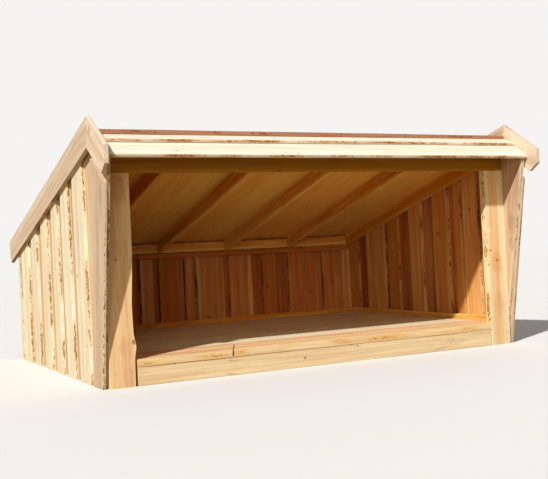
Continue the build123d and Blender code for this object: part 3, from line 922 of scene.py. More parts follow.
@dataclass
class Sawyer:
    """Cuts boards: turns a straight prism into a sawn board with edges and grain."""

    cut: Cut
    dice: np.random.Generator

    def saw(self, skin: Skin, patch: Patch, depth: Span) -> None:
        """Add one board to the skin.

        Args:
            skin: the mesh being gathered.
            patch: the board's plan in its own directions.
            depth: its back and its good face along the outward direction.
        """
        length = float(np.linalg.norm(patch.end.mean(0) - patch.start.mean(0)))
        width = float(np.linalg.norm(patch.start[-1] - patch.start[0]))
        width = max(width, float(np.linalg.norm(patch.end[-1] - patch.end[0])))
        thick = depth[1] - depth[0]
        rows = max(2, math.ceil(length / ROW_LENGTH_M))
        steps = np.linspace(0.0, 1.0, rows + 1)
        low = self._edge(self.cut.low_edge, steps * length, width, thick)
        high = self._edge(self.cut.high_edge, steps * length, width, thick)
        low = (low[0], low[1] + self.cut.trim[0], low[2])
        high = (high[0], high[1] + self.cut.trim[1], high[2])
        shares = self._columns(patch, width)
        ring_w, ring_t, ring_bark = self._ring(low, high, shares, width)
        along_share = np.repeat(steps[:, None], ring_w.shape[1], axis=1)
        plan = patch.point(along_share, np.clip(ring_w / width, 0.0, 1.0))
        level = depth[0] + ring_t * thick
        self.dice.uniform()  # not used, but the later draws depend on it
        local = np.concatenate([plan, level[..., None]], axis=-1).reshape(-1, 3)
        grain, marks = self._grain(plan, ring_w, ring_t, ring_bark, width, thick)
        faces, sides = self._faces(len(steps), ring_w.shape[1], len(shares), len(low[0]))
        skin.add(self.cut.axes.world(local), grain, marks, faces, sides)

    def _edge(self, edge: Edge, places: np.ndarray, width: float, thick: float) -> Section:
        """Return an edge's section at each place along the board.

        Args:
            edge: how the edge was left.
            places: distances along the board.
            width: the board's width.
            thick: the board's thickness.

        Returns:
            Levels through the thickness, the inset at each place and level, and the bark there.
        """
        if edge is not Edge.WANEY:
            arris = min(ARRIS_M, thick / 5) * (3.0 if edge is Edge.SOFT else 1.0)
            levels = [0.0, arris / thick, 1.0 - arris / thick, 1.0]
            inset = np.tile(np.array([arris, 0.0, 0.0, arris]), (len(places), 1))
            inset += self._wander(places, SAW_WANDER_M[edge])[:, None]
            return levels, inset, [0.0, 0.0, 0.0, 0.0]
        drift = self._wander(places, min(self.cut.wander_m, width * 0.09))
        drift = drift + self._taper(places, width)
        slant = min(self.cut.wane_m, width * 0.12) * (0.55 + 0.45 * self._wander(places, 1.0))
        inset = drift[:, None] + slant[:, None] * np.array(WANE_RUN)
        if self.cut.nick:
            heights, depths = zip(*self.cut.nick)
            inset = inset * 0.35 + np.interp(places, heights, depths)[:, None]
        return list(WANE_LEVELS), inset, list(WANE_BARK)

    def _wander(self, places: np.ndarray, reach: float) -> np.ndarray:
        """Return a smooth random line from 0 to the reach, as a log's edge wanders.

        Args:
            places: distances along the board.
            reach: the most that it wanders.

        Returns:
            The line's height at each place.
        """
        total = np.zeros_like(places)
        for pitch_m, share in WANDER_WAVES:
            heights = self.dice.uniform(0.0, 1.0, math.ceil(places[-1] / pitch_m) + 2)
            where = places / pitch_m
            cell = np.floor(where).astype(int)
            blend = (where - cell) ** 2 * (3.0 - 2.0 * (where - cell))
            total += share * (heights[cell] * (1.0 - blend) + heights[cell + 1] * blend)
        return reach * total

    def _taper(self, places: np.ndarray, width: float) -> np.ndarray:
        """Return how much narrower a log's board gets towards its top or its butt.

        Args:
            places: distances along the board.
            width: the board's width.

        Returns:
            What the taper takes off at each place.
        """
        lean = float(self.dice.uniform(-1.0, 1.0)) * min(self.cut.taper_m, width * 0.06)
        share = places / places[-1]
        return lean * share if lean > 0.0 else -lean * (1.0 - share)

    def _columns(self, patch: Patch, width: float) -> np.ndarray:
        """Return the shares of the width where the faces have lines of points.

        Args:
            patch: the board's plan.
            width: the board's width.

        Returns:
            The shares, from 0 to 1.
        """
        count = max(2, math.ceil(width / COLUMN_WIDTH_M))
        even = np.linspace(0.0, 1.0, count + 1)
        corners = patch.share[(patch.share > 0.0) & (patch.share < 1.0)]
        return np.unique(np.concatenate([even, corners]).round(5))

    def _ring(self, low: Section, high: Section, shares: np.ndarray,
              width: float) -> tuple[np.ndarray, np.ndarray, np.ndarray]:
        """Return the place across, the level and the bark of each point of each ring.

        The ring runs along the back from the low edge to the high edge, up the high edge,
        back along the good face and down the low edge.

        Args:
            low: the low edge's levels, its inset in each row and its bark.
            high: the same of the high edge.
            shares: the columns' shares of the width.
            width: the board's width.

        Returns:
            The place across, the level and the bark, each with one row for each ring.
        """
        rows = low[1].shape[0]
        middle = shares[1:-1]
        back = self._face_line(low[1][:, 0], high[1][:, 0], middle, width)
        front = self._face_line(low[1][:, -1], high[1][:, -1], middle, width)
        rise = width - high[1][:, 1:-1]
        fall = low[1][:, 1:-1][:, ::-1]
        place = np.concatenate([back, rise, front[:, ::-1], fall], axis=1)
        on_face = [0.0] * (len(middle) + 2)
        on_back = [self.cut.back_bark[0]] * (len(middle) + 2)
        back_bark = [low[2][0]] + on_back + [high[2][0]]
        front_bark = [low[2][-1]] + on_face + [high[2][-1]]
        bark = back_bark + high[2][1:-1] + front_bark[::-1] + low[2][1:-1][::-1]
        level = ([0.0] * back.shape[1] + list(high[0][1:-1]) + [1.0] * front.shape[1]
                 + list(low[0][1:-1])[::-1])
        return place, np.tile(level, (rows, 1)), np.tile(bark, (rows, 1))

    def _face_line(self, low: np.ndarray, high: np.ndarray, middle: np.ndarray,
                   width: float) -> np.ndarray:
        """Return the places across one face: both edges, a lip inside each, and the columns.

        Args:
            low: the low edge's inset in each row.
            high: the high edge's inset.
            middle: the columns' shares of the width.
            width: the board's width.

        Returns:
            The places, one row for each row of the board.
        """
        first = low[:, None]
        last = width - high[:, None]
        lip = min(BARK_LIP_M, width * 0.12)
        inside = np.clip(middle[None, :] * width, first + 1.4 * lip, last - 1.4 * lip)
        return np.concatenate([first, first + lip, inside, last - lip, last], axis=1)

    def _grain(self, plan: np.ndarray, ring_w: np.ndarray, ring_t: np.ndarray,
               ring_bark: np.ndarray, width: float, thick: float) -> tuple[np.ndarray, np.ndarray]:
        """Return the grain coordinates and the heart, bark and tone marks of every point.

        The log's pith lies under the board's middle, near to it or far, and leans a little.

        Args:
            plan: each point's place along and across the board.
            ring_w: each point's distance from the low edge.
            ring_t: each point's level through the thickness.
            ring_bark: the bark on each point.
            width: the board's width.
            thick: the board's thickness.

        Returns:
            The grain coordinates and the marks, one row for each point.
        """
        shift = float(self.dice.uniform(0.0, 60.0))
        pith = width * float(self.dice.uniform(0.38, 0.62))
        under = float(self.dice.uniform(0.015, 0.075))
        taper = float(self.dice.uniform(-0.035, 0.035))
        self.dice.uniform()  # not used, but the later draws depend on it
        grain = np.stack([
            plan[..., 0] + shift,
            ring_w - pith,
            ring_t * thick + under + taper * plan[..., 0],
        ], axis=-1).reshape(-1, 3)
        spread = float(self.dice.uniform(*self.cut.heart)) * width * 0.5
        heart = np.clip(1.15 - np.abs(ring_w - pith) / max(spread, SMALL_M) * 0.65, 0.0, 1.0)
        tone = float(self.dice.uniform(*self.cut.tone))
        marks = np.stack([heart, ring_bark, np.full_like(heart, tone)], axis=-1).reshape(-1, 3)
        return grain, marks

    def _faces(self, rows: int, ring: int, columns: int,
               levels: int) -> tuple[list[tuple[int, ...]], list[int]]:
        """Return the faces, strips between rings and the two sawn ends, and 1 for each back.

        Args:
            rows: how many rings of points the board has.
            ring: how many points each ring has.
            columns: how many lines of points each face has, both edges included.
            levels: how many levels each edge has.

        Returns:
            The faces, and the number of each one's finish.
        """
        faces: list[tuple[int, ...]] = []
        sides: list[int] = []
        for row in range(rows - 1):
            base = row * ring
            for k in range(ring):
                after = (k + 1) % ring
                faces.append((base + k, base + after, base + ring + after, base + ring + k))
                sides.append(int(k < columns + 1))
        line = columns + 2
        rise = levels - 2
        for row in (0, rows - 1):
            base = row * ring
            back = [base + k for k in range(line)]
            front = [base + line + rise + (line - 1 - k) for k in range(line)]
            high = [base + line + k for k in range(rise)]
            low = [base + 2 * line + rise + (rise - 1 - k) for k in range(rise)]
            for k in range(line - 1):
                faces.append((back[k], back[k + 1], front[k + 1], front[k]))
            faces.append((back[-1], *high, front[-1]))
            faces.append((back[0], *low, front[0]))
        sides.extend([0] * (len(faces) - len(sides)))
        return faces, sides


@dataclass
class Timberwork:
    """Base of the sub-assemblies: dresses CAD nodes as sawn boards and marks their nails."""

    nodes: Mapping[str, bpy.types.Object]
    finishes: Mapping[Timber, bpy.types.Material]
    nails: list[tuple[Vector, Vector]] = field(default_factory=list)

    def dress(self, node: str, cut: Cut, finish: Timber | tuple[Timber, Timber], slot: str,
              plans: Plans | None = None) -> bpy.types.Object:
        """Replace a CAD node by sawn boards in the same place.

        Args:
            node: the node's name.
            cut: how its boards were sawn.
            finish: the boards' finish, or that of the face and that of the back.
            slot: not used.
            plans: the boards' plans and depths, where they aren't read from the node's solids.

        Returns:
            The new piece.
        """
        dice, bark_dice = seeded(node), seeded(f"bark_{node}")
        skin = Skin()
        for patch, depth in plans or self.plans(node, cut):
            bark = float(bark_dice.uniform(*cut.back_bark))
            own = replace(cut, back_bark=(bark, bark))
            if cut.first_sawn and not skin.count:
                own = replace(own, low_edge=Edge.SAWN)
            Sawyer(own, dice).saw(skin, patch, depth)
            self.nail(cut, patch, depth[1])
        timbers = finish if isinstance(finish, tuple) else (finish,)
        piece = skin.build(f"sawn_{node}", [self.finishes[timber] for timber in timbers])
        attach(piece, "root")
        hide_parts(node)
        LOG.info("%s: %d faces", piece.name, len(piece.data.polygons))
        return piece

    def nail(self, cut: Cut, patch: Patch, level: float) -> None:
        """Mark the nails of one board: two in each row, or one where it is narrow.

        Args:
            cut: the board's cut, with rows measured from its ends and lines at fixed places.
            patch: the board's plan.
            level: the height of its good face along the outward direction.
        """
        width = min(float(np.ptp(end[:, 1])) for end in (patch.start, patch.end))
        inset = cut.nail_inset_m / max(width, SMALL_M)
        shares = (0.5,) if inset > ONE_NAIL_INSET else (inset, 1.0 - inset)
        for share in shares:
            start, end = (patch.point(np.array(at), np.array(share)) for at in (0.0, 1.0))
            first, last = start[0] + NAIL_FROM_END_M, end[0] - NAIL_FROM_END_M
            places = [start[0] + row if row > 0.0 else end[0] + row for row in cut.nail_rows]
            places += [line for line in cut.nail_lines if first < line < last]
            for place in places:
                ahead = (place - start[0]) / (end[0] - start[0])
                across = start[1] + (end[1] - start[1]) * ahead
                spot = cut.axes.world(np.array([place, across, level]))
                self.nails.append((Vector(spot), Vector(cut.axes.out)))

    def plans(self, node: str, cut: Cut) -> Plans:
        """Return the plan and depth of each solid of a node.

        Args:
            node: the node's name.
            cut: how its boards were sawn.

        Returns:
            The plans, in the order of the solids.
        """
        found = []
        for corners in solids_of(self.nodes[node]):
            local = cut.axes.local(corners)
            patch = Patch.from_outline(outline_of(local[:, :2]))
            found.append((patch, (float(local[:, 2].min()), float(local[:, 2].max()))))
        return found


def slope_of(corners: np.ndarray) -> tuple[np.ndarray, np.ndarray]:
    """Find the slope of a straight piece that is seen from the side.

    Args:
        corners: its corners. Its longest straight run in Y and Z gives the slope.

    Returns:
        The direction down the slope and the one square to it and upwards, both in Y and Z.
    """
    hull = outline_of(corners[:, 1:])
    runs = np.roll(hull, -1, axis=0) - hull
    longest = runs[int(np.argmax(np.linalg.norm(runs, axis=1)))]
    down = longest / np.linalg.norm(longest)
    if down[1] > 0.0:
        down = -down
    up = np.array([-down[1], down[0]])
    return down, -up if up[1] < 0.0 else up


def slope_axes(corners: np.ndarray, face_out: float) -> Axes:
    """Return the directions of a piece whose length runs down the slope.

    Args:
        corners: the piece's corners.
        face_out: which way the good face looks along X.

    Returns:
        Its axes.
    """
    down, up = slope_of(corners)
    return Axes((0.0, down[0], down[1]), (0.0, up[0], up[1]), (face_out, 0.0, 0.0))


def tilted_axes(corners: np.ndarray) -> Axes:
    """Return the directions of a roof board that runs along X and tilts down its slope."""
    down, up = slope_of(corners)
    return Axes(RIGHT, (0.0, down[0], down[1]), (0.0, up[0], up[1]))


@dataclass
class Walls(Timberwork):
    """Upright waney boards in two layers on three sides, and the leaning wing boards.

    Both layers' edges together wander less than the boards overlap.
    """

    outer_wander_m: float = 0.016
    outer_wane_m: float = 0.014
    outer_taper_m: float = 0.008
    outer_nail_rows: Span = (0.21, -0.06)
    inner_wander_m: float = 0.012
    inner_wane_m: float = 0.014
    inner_taper_m: float = 0.006
    inner_nail_rows: Span = (0.04, -0.05)
    wing_wander_m: float = 0.006
    wing_wane_m: float = 0.006
    wing_nail_rows: Span = (0.30, 0.75)
    cheek_wander_m: float = 0.004
    cheek_wane_m: float = 0.005
    # The back of the left wing's inner board shows past the outer one as a strip of bark
    cheek_bark: Mapping[str, float] = field(default_factory=lambda: {"left": 0.85, "right": 0.2})

    def build(self) -> None:
        """Dress the walls."""
        outer = Cut(Axes(UP, RIGHT, REAR), Edge.WANEY, Edge.WANEY, self.outer_wander_m,
                    self.outer_wane_m, self.outer_taper_m, heart=(0.02, 0.35),
                    back_bark=(0.1, 0.5), nail_rows=self.outer_nail_rows)
        inner = Cut(Axes(UP, RIGHT, FRONT), Edge.WANEY, Edge.WANEY, self.inner_wander_m,
                    self.inner_wane_m, self.inner_taper_m, heart=(0.6, 1.0),
                    back_bark=(0.1, 0.55), nail_rows=self.inner_nail_rows)
        for side, out, inside in (("left", LEFT, RIGHT), ("right", RIGHT, LEFT)):
            outwards, inwards = Axes(UP, REAR, out), Axes(UP, REAR, inside)
            # The cladding's back finish carries painted shade of the recess behind the lining
            self.dress(f"{side}_wall_outer_boards", replace(outer, axes=outwards),
                       (Timber.PALE, Timber.BACK), "larch_pale")
            # The left lining carries painted shade of the inside; the right one is a lighter copy,
            # painted light from the open front
            lining = Timber.HEART if side == "left" else Timber.LINING
            self.dress(f"{side}_wall_inner_boards", replace(inner, axes=inwards, first_sawn=True),
                       (lining, Timber.SLAB), "larch_shaded_wall")
            wing = Cut(outwards, Edge.WANEY, Edge.SAWN, self.wing_wander_m, self.wing_wane_m, 0.0,
                       heart=(0.3, 0.5), tone=(-0.2, 0.2), nail_rows=self.wing_nail_rows)
            self.dress(f"{side}_wing_outer_board", wing, Timber.TAN, "larch_pale")
            bark = self.cheek_bark[side]
            cheek = Cut(inwards, Edge.WANEY, Edge.SAWN, self.cheek_wander_m, self.cheek_wane_m, 0.0,
                        heart=(0.5, 0.7), tone=(-0.2, 0.2), back_bark=(bark, bark))
            self.dress(f"{side}_wing_inner_board", cheek, (Timber.TAN, Timber.SLAB),
                       "larch_shaded_wall", self.pushed_up(side, cheek))
        self.dress("rear_wall_inner_boards", inner, (Timber.HEART, Timber.SLAB),
                   "larch_shaded_wall")
        self.dress("rear_wall_outer_boards", outer, (Timber.PALE, Timber.BACK),
                   "larch_shaded_wall")
        for side in ("left", "right"):
            self.dress(f"rear_{side}_post", Cut(Axes(UP, RIGHT, FRONT)), Timber.HEART,
                       "larch_shaded_wall")

    def pushed_up(self, side: str, cut: Cut) -> Plans:
        """Return the wing's inner board pushed up to the lining, so that no light shows between.

        Args:
            side: "left" or "right".
            cut: how the board was sawn.

        Returns:
            Its plan and depth, with its rear edge at the lining's front edge.
        """
        plans = self.plans(f"{side}_wing_inner_board", cut)
        low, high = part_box(f"{side}_wall_inner_boards")
        for patch, _ in plans:
            patch.start[-1] = (low.z, low.y)
            patch.end[-1] = (high.z, low.y)
        return plans


@dataclass
class Frame(Timberwork):
    """Posts, header, rafters and the rear wall's beams and rails."""

    left_post_wander_m: float = 0.004
    left_post_wane_m: float = 0.008
    # How far the left post's inner edge is cut back at each height: waist, knot and foot
    left_post_nick: Sequence[Span] = (
        (0.0, 0.018), (0.2, 0.016), (0.29, 0.0), (0.36, 0.018), (0.57, 0.022), (0.92, 0.002),
        (1.5, 0.0),
    )
    right_post_wander_m: float = 0.008
    right_post_wane_m: float = 0.014
    right_post_taper_m: float = 0.004
    post_nail_rows: Span = (0.10, -0.05)
    # The rim beam has dried narrower, which leaves a dark slit over it and a line under it
    rim_shrink_m: float = 0.018

    def build(self) -> None:
        """Dress the frame."""
        upright = Axes(UP, RIGHT, FRONT)
        left = Cut(upright, Edge.SAWN, Edge.WANEY, self.left_post_wander_m, self.left_post_wane_m,
                   0.0, heart=(0.7, 0.8), tone=(0.0, 0.1), nick=self.left_post_nick,
                   nail_rows=self.post_nail_rows)
        self.dress("left_post", left, Timber.TAN_POST, "larch_pale")
        right = Cut(upright, Edge.WANEY, Edge.SAWN, self.right_post_wander_m,
                    self.right_post_wane_m, self.right_post_taper_m, heart=(0.35, 0.4),
                    tone=(0.0, 0.1), nail_rows=self.post_nail_rows)
        self.dress("right_post", right, Timber.HONEY_POST, "larch_pale")
        beam = Axes(RIGHT, UP, FRONT)
        # The header's olive-brown colour is painted shade of the visor
        self.dress("header_beam", Cut(beam, Edge.SOFT), Timber.HEADER, "frame_timber")
        for number in range(1, 7):
            name = f"rafter_{number}"
            axes = slope_axes(solids_of(self.nodes[name])[0], -1.0)
            self.dress(name, Cut(axes, Edge.SOFT, tone=(-0.6, 0.6)), Timber.FRAME, "frame_timber")
        self.dress("visor_rafters", Cut(Axes(REAR, UP, LEFT)), Timber.FRAME, "frame_timber")
        rim = Cut(beam, tone=(0.3, 0.5), trim=(self.rim_shrink_m / 2, self.rim_shrink_m))
        self.dress("rear_rim_beam", rim, Timber.FRAME, "frame_timber")
        plate = Cut(beam, Edge.SOFT, tone=(-0.8, -0.5))
        self.dress("rear_wall_plate", plate, Timber.HEART, "frame_timber")
        rail = Cut(beam, Edge.SAWN, Edge.SOFT, tone=(-0.6, -0.3))
        self.dress("rear_bottom_rail", rail, Timber.FRAME, "frame_timber")
        for side, face in (("left", RIGHT), ("right", LEFT)):
            rail = Cut(Axes(REAR, UP, face), Edge.SAWN, Edge.SOFT, tone=(0.2, 0.5))
            self.dress(f"{side}_bottom_rail", rail, Timber.FRAME, "frame_timber")


@dataclass
class Floor(Timberwork):
    """The raised plank floor, its bearer and its joists."""

    front_wander_m: float = 0.006
    front_wane_m: float = 0.009
    front_taper_m: float = 0.004
    # The notch round a post is cut within this distance of the post's rear face
    notch_step_m: float = 0.0001
    # A plank whose front edge stands this near to the post's rear face has no notch
    notch_reach_m: float = 0.01

    def build(self) -> None:
        """Dress the floor."""
        plank = Axes(RIGHT, REAR, UP)
        joists = tuple(float(solid[:, 0].mean()) for solid in solids_of(self.nodes["floor_joists"]))
        boards = Cut(plank, Edge.SOFT, Edge.SOFT, tone=(-0.7, 0.8), nail_lines=joists)
        self.dress("floor_boards", boards, Timber.FLOOR, "rough_sawn_floor")
        front = Cut(plank, Edge.WANEY, Edge.SOFT, self.front_wander_m, self.front_wane_m,
                    self.front_taper_m, tone=(-0.3, 0.3), nail_lines=joists)
        for side in ("left", "right"):
            node = f"front_floor_boards_{side}"
            self.dress(node, front, Timber.STEP, "rough_sawn_floor",
                       self.notched(node, front, side))
        bearer = Cut(Axes(RIGHT, UP, FRONT), heart=(0.02, 0.05), tone=(0.3, 0.4))
        self.dress("front_bearer", bearer, Timber.STEP, "frame_timber")
        self.dress("floor_joists", Cut(Axes(REAR, RIGHT, UP)), Timber.FRAME, "frame_timber")

    def notched(self, node: str, cut: Cut, side: str) -> Plans:
        """Return the plans of front planks, the first one notched round its post.

        Args:
            node: the CAD node.
            cut: how its boards were sawn.
            side: "left" or "right", the end that meets the post.

        Returns:
            The plan and depth of each plank.
        """
        plans = []
        post_low, post_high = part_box(f"{side}_post")
        post_edge, wall_edge = post_high.x, post_low.x
        if side == "right":
            post_edge, wall_edge = wall_edge, post_edge
        for corners in solids_of(self.nodes[node]):
            local = cut.axes.local(corners)
            depth = (float(local[:, 2].min()), float(local[:, 2].max()))
            front, rear = float(local[:, 1].min()), float(local[:, 1].max())
            if front > post_high.y - self.notch_reach_m:
                plans.append((Patch.from_outline(outline_of(local[:, :2])), depth))
                continue
            step = post_high.y
            levels = np.array([front, step - self.notch_step_m, step + self.notch_step_m, rear])
            shares = (levels - front) / (rear - front)
            at_post = np.stack([[post_edge, post_edge, wall_edge, wall_edge], levels], axis=1)
            joint = local[np.argsort(-local[:, 0] if side == "left" else local[:, 0])]
            at_front = joint[np.abs(joint[:, 1] - front) < SMALL_M][0]
            at_rear = joint[np.abs(joint[:, 1] - rear) < SMALL_M][0]
            slant = at_front[0] + (at_rear[0] - at_front[0]) * shares
            at_joint = np.stack([slant, levels], axis=1)
            ends = (at_post, at_joint) if side == "left" else (at_joint, at_post)
            plans.append((Patch(shares, ends[0], ends[1]), depth))
        return plans


@dataclass
class Roof(Timberwork):
    """Ceiling sheets, lapped roof boards, the visor and the barge boards."""

    sheet_gap_m: float = 0.006
    # One strip of ceiling is cut narrower: how far its joint stands across the last bay
    loose_joint: float = 0.71
    lap_wander_m: float = 0.010
    lap_wane_m: float = 0.014
    ridge_wander_m: float = 0.006
    ridge_wane_m: float = 0.010
    visor_wander_m: float = 0.009
    visor_wane_m: float = 0.008
    visor_taper_m: float = 0.004
    barge_wander_m: float = 0.006
    barge_wane_m: float = 0.006
    rear_barge_nail_rows: tuple[float, ...] = (0.10, 0.65, 1.25, 1.85, -0.10)
    front_barge_nail_rows: Span = (0.12, -0.12)

    def build(self) -> None:
        """Dress the roof."""
        self.ceiling()
        rafters = tuple(
            (low.x + high.x) / 2.0 for low, high in (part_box(f"rafter_{n}") for n in range(1, 7))
        )
        lap = Cut(tilted_axes(self.corners("rear_roof_boards")), Edge.SAWN, Edge.WANEY,
                  self.lap_wander_m, self.lap_wane_m, nail_lines=rafters)
        self.dress("rear_roof_boards", lap, Timber.ROOF, "roof_boarding")
        self.dress("rear_eave_batten", Cut(Axes(RIGHT, REAR, UP)), Timber.ROOF, "frame_timber")
        ridge = Cut(tilted_axes(self.corners("ridge_board")), Edge.WANEY, Edge.SAWN,
                    self.ridge_wander_m, self.ridge_wane_m, tone=(0.2, 0.4))
        self.dress("ridge_board", ridge, Timber.ROOF, "roof_boarding")
        for node in ("eave_board", "visor_board"):
            cut = Cut(tilted_axes(self.corners(node)), Edge.SAWN, Edge.WANEY, self.visor_wander_m,
                      self.visor_wane_m, self.visor_taper_m, heart=(0.2, 0.4), tone=(0.5, 0.7),
                      nail_lines=rafters)
            self.dress(node, cut, Timber.BLEACHED, "larch_pale")
        for side, face in (("left", -1.0), ("right", 1.0)):
            name = f"{side}_rear_barge_board"
            cut = Cut(slope_axes(self.corners(name), face), Edge.WANEY, Edge.WANEY,
                      self.barge_wander_m, self.barge_wane_m, 0.0, heart=(0.4, 0.6),
                      tone=(0.0, 0.4), nail_rows=self.rear_barge_nail_rows)
            self.dress(name, cut, Timber.BARGE, "barge_boarding")
            name = f"{side}_front_barge_board"
            cut = replace(cut, axes=self.front_axes(name, face),
                          nail_rows=self.front_barge_nail_rows)
            self.dress(name, cut, Timber.BARGE_FRONT, "barge_boarding")

    def corners(self, node: str) -> np.ndarray:
        """Return the corners of a node's first solid."""
        return solids_of(self.nodes[node])[0]

    def front_axes(self, name: str, face: float) -> Axes:
        """Return the directions of a front barge board, with its length down to the front.

        Args:
            name: the board's name.
            face: which way its good face looks along X.

        Returns:
            Its axes.
        """
        hull = outline_of(self.corners(name)[:, 1:])
        peak = hull[int(np.argmax(hull[:, 1]))]
        nose = hull[int(np.argmin(hull[:, 0] - 0.01 * hull[:, 1]))]
        down = (nose - peak) / np.linalg.norm(nose - peak)
        up = (down[1], -down[0])
        if up[1] < 0.0:
            up = (-up[0], -up[1])
        return Axes((0.0, down[0], down[1]), (0.0, up[0], up[1]), (face, 0.0, 0.0))

    def ceiling(self) -> None:
        """Dress the ceiling as sheets that meet over two rafters and once in the last bay."""
        slab = slope_axes(self.corners("ceiling_boards"), 1.0)
        axes = Axes(slab.along, RIGHT, tuple(-np.array(slab.across)))
        corners = axes.local(self.corners("ceiling_boards"))
        (begin, low, back), (end, high, face) = corners.min(0).tolist(), corners.max(0).tolist()
        joints = [low]
        for number in (3, 4):
            rafter_low, rafter_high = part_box(f"rafter_{number}")
            joints.append((rafter_low.x + rafter_high.x) / 2.0)
        loose_low, loose_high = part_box("rafter_5")[1].x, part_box("rafter_6")[0].x
        joints += [loose_low + self.loose_joint * (loose_high - loose_low), high]
        plans = []
        for first, last in zip(joints, joints[1:]):
            left, right = first + self.sheet_gap_m / 2, last - self.sheet_gap_m / 2
            square = np.array([(begin, left), (end, left), (end, right), (begin, right)])
            plans.append((Patch.from_outline(outline_of(square)), (back, face)))
        cut = Cut(axes, heart=(0.2, 0.5), tone=(-0.4, 0.4))
        self.dress("ceiling_boards", cut, Timber.VENEER, "ceiling_boarding", plans)


@dataclass
class Nails:
    """Galvanised nails where boards cross the frame, placed by Geometry Nodes."""

    finish: bpy.types.Material
    head_diameter_m: float = 0.009
    head_height_m: float = 0.0015
    # The flat top of the head, as a share of its diameter
    crown_share: float = 0.7
    sides: int = 10

    def build(self, spots: Sequence[tuple[Vector, Vector]]) -> None:
        """Make every nail head.

        Args:
            spots: where each nail stands, and which way it faces.
        """
        mesh = bpy.data.meshes.new("nail_spots")
        mesh.from_pydata([tuple(place) for place, _ in spots], [], [])
        facing = mesh.attributes.new("facing", "FLOAT_VECTOR", "POINT")
        facing.data.foreach_set("vector", [value for _, way in spots for value in way])
        source = put_in_scene("nail_spots", mesh)
        modifier = source.modifiers.new("nails", "NODES")
        modifier.node_group = self.tree()
        values = {"Head Diameter": self.head_diameter_m, "Head Height": self.head_height_m,
                  "Crown Share": self.crown_share, "Sides": self.sides}
        for item in modifier.node_group.interface.items_tree:
            if item.in_out == "INPUT" and item.name in values:
                modifier[item.identifier] = values[item.name]
        modifier.node_group.interface_update(bpy.context)
        seen = source.evaluated_get(bpy.context.evaluated_depsgraph_get())
        heads = bpy.data.meshes.new_from_object(seen)
        heads.name = "nail_heads"
        source.modifiers.clear()
        bpy.data.objects.remove(source)
        piece = put_in_scene("nail_heads", heads)
        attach(piece, "root")
        LOG.info("nail_heads: %d nails", len(spots))

    def tree(self) -> Tree:
        """Build the tree: a domed head on each spot, turned to face out, then made real.

        Returns:
            The new node tree.
        """
        tree = bpy.data.node_groups.new("nail_heads", "GeometryNodeTree")
        for name, kind in (("Geometry", "Geometry"), ("Head Diameter", "Float"),
                           ("Head Height", "Float"), ("Crown Share", "Float"), ("Sides", "Int")):
            tree.interface.new_socket(name, in_out="INPUT", socket_type=f"NodeSocket{kind}")
        tree.interface.new_socket("Geometry", in_out="OUTPUT", socket_type="NodeSocketGeometry")
        add = partial(add_node, tree)
        given = add("NodeGroupInput")
        radius = add("ShaderNodeMath", {0: given["Head Diameter"], 1: 0.5}, operation="MULTIPLY")
        crown = add("ShaderNodeMath", {0: radius[0], 1: given["Crown Share"]}, operation="MULTIPLY")
        head = add("GeometryNodeMeshCone",
                   {"Vertices": given["Sides"], "Radius Top": crown[0], "Radius Bottom": radius[0],
                    "Depth": given["Head Height"]}, fill_type="NGON")
        way = add("GeometryNodeInputNamedAttribute", {"Name": "facing"}, data_type="FLOAT_VECTOR")
        turned = add("FunctionNodeAlignRotationToVector", {"Vector": way["Attribute"]}, axis="Z")
        points = add("GeometryNodeInstanceOnPoints",
                     {"Points": given["Geometry"], "Instance": head["Mesh"],
                      "Rotation": turned["Rotation"]})
        real = add("GeometryNodeRealizeInstances", {"Geometry": points[0]})
        coated = add("GeometryNodeSetMaterial", {"Geometry": real[0], "Material": self.finish})
        add("NodeGroupOutput", {"Geometry": coated[0]})
        return tree


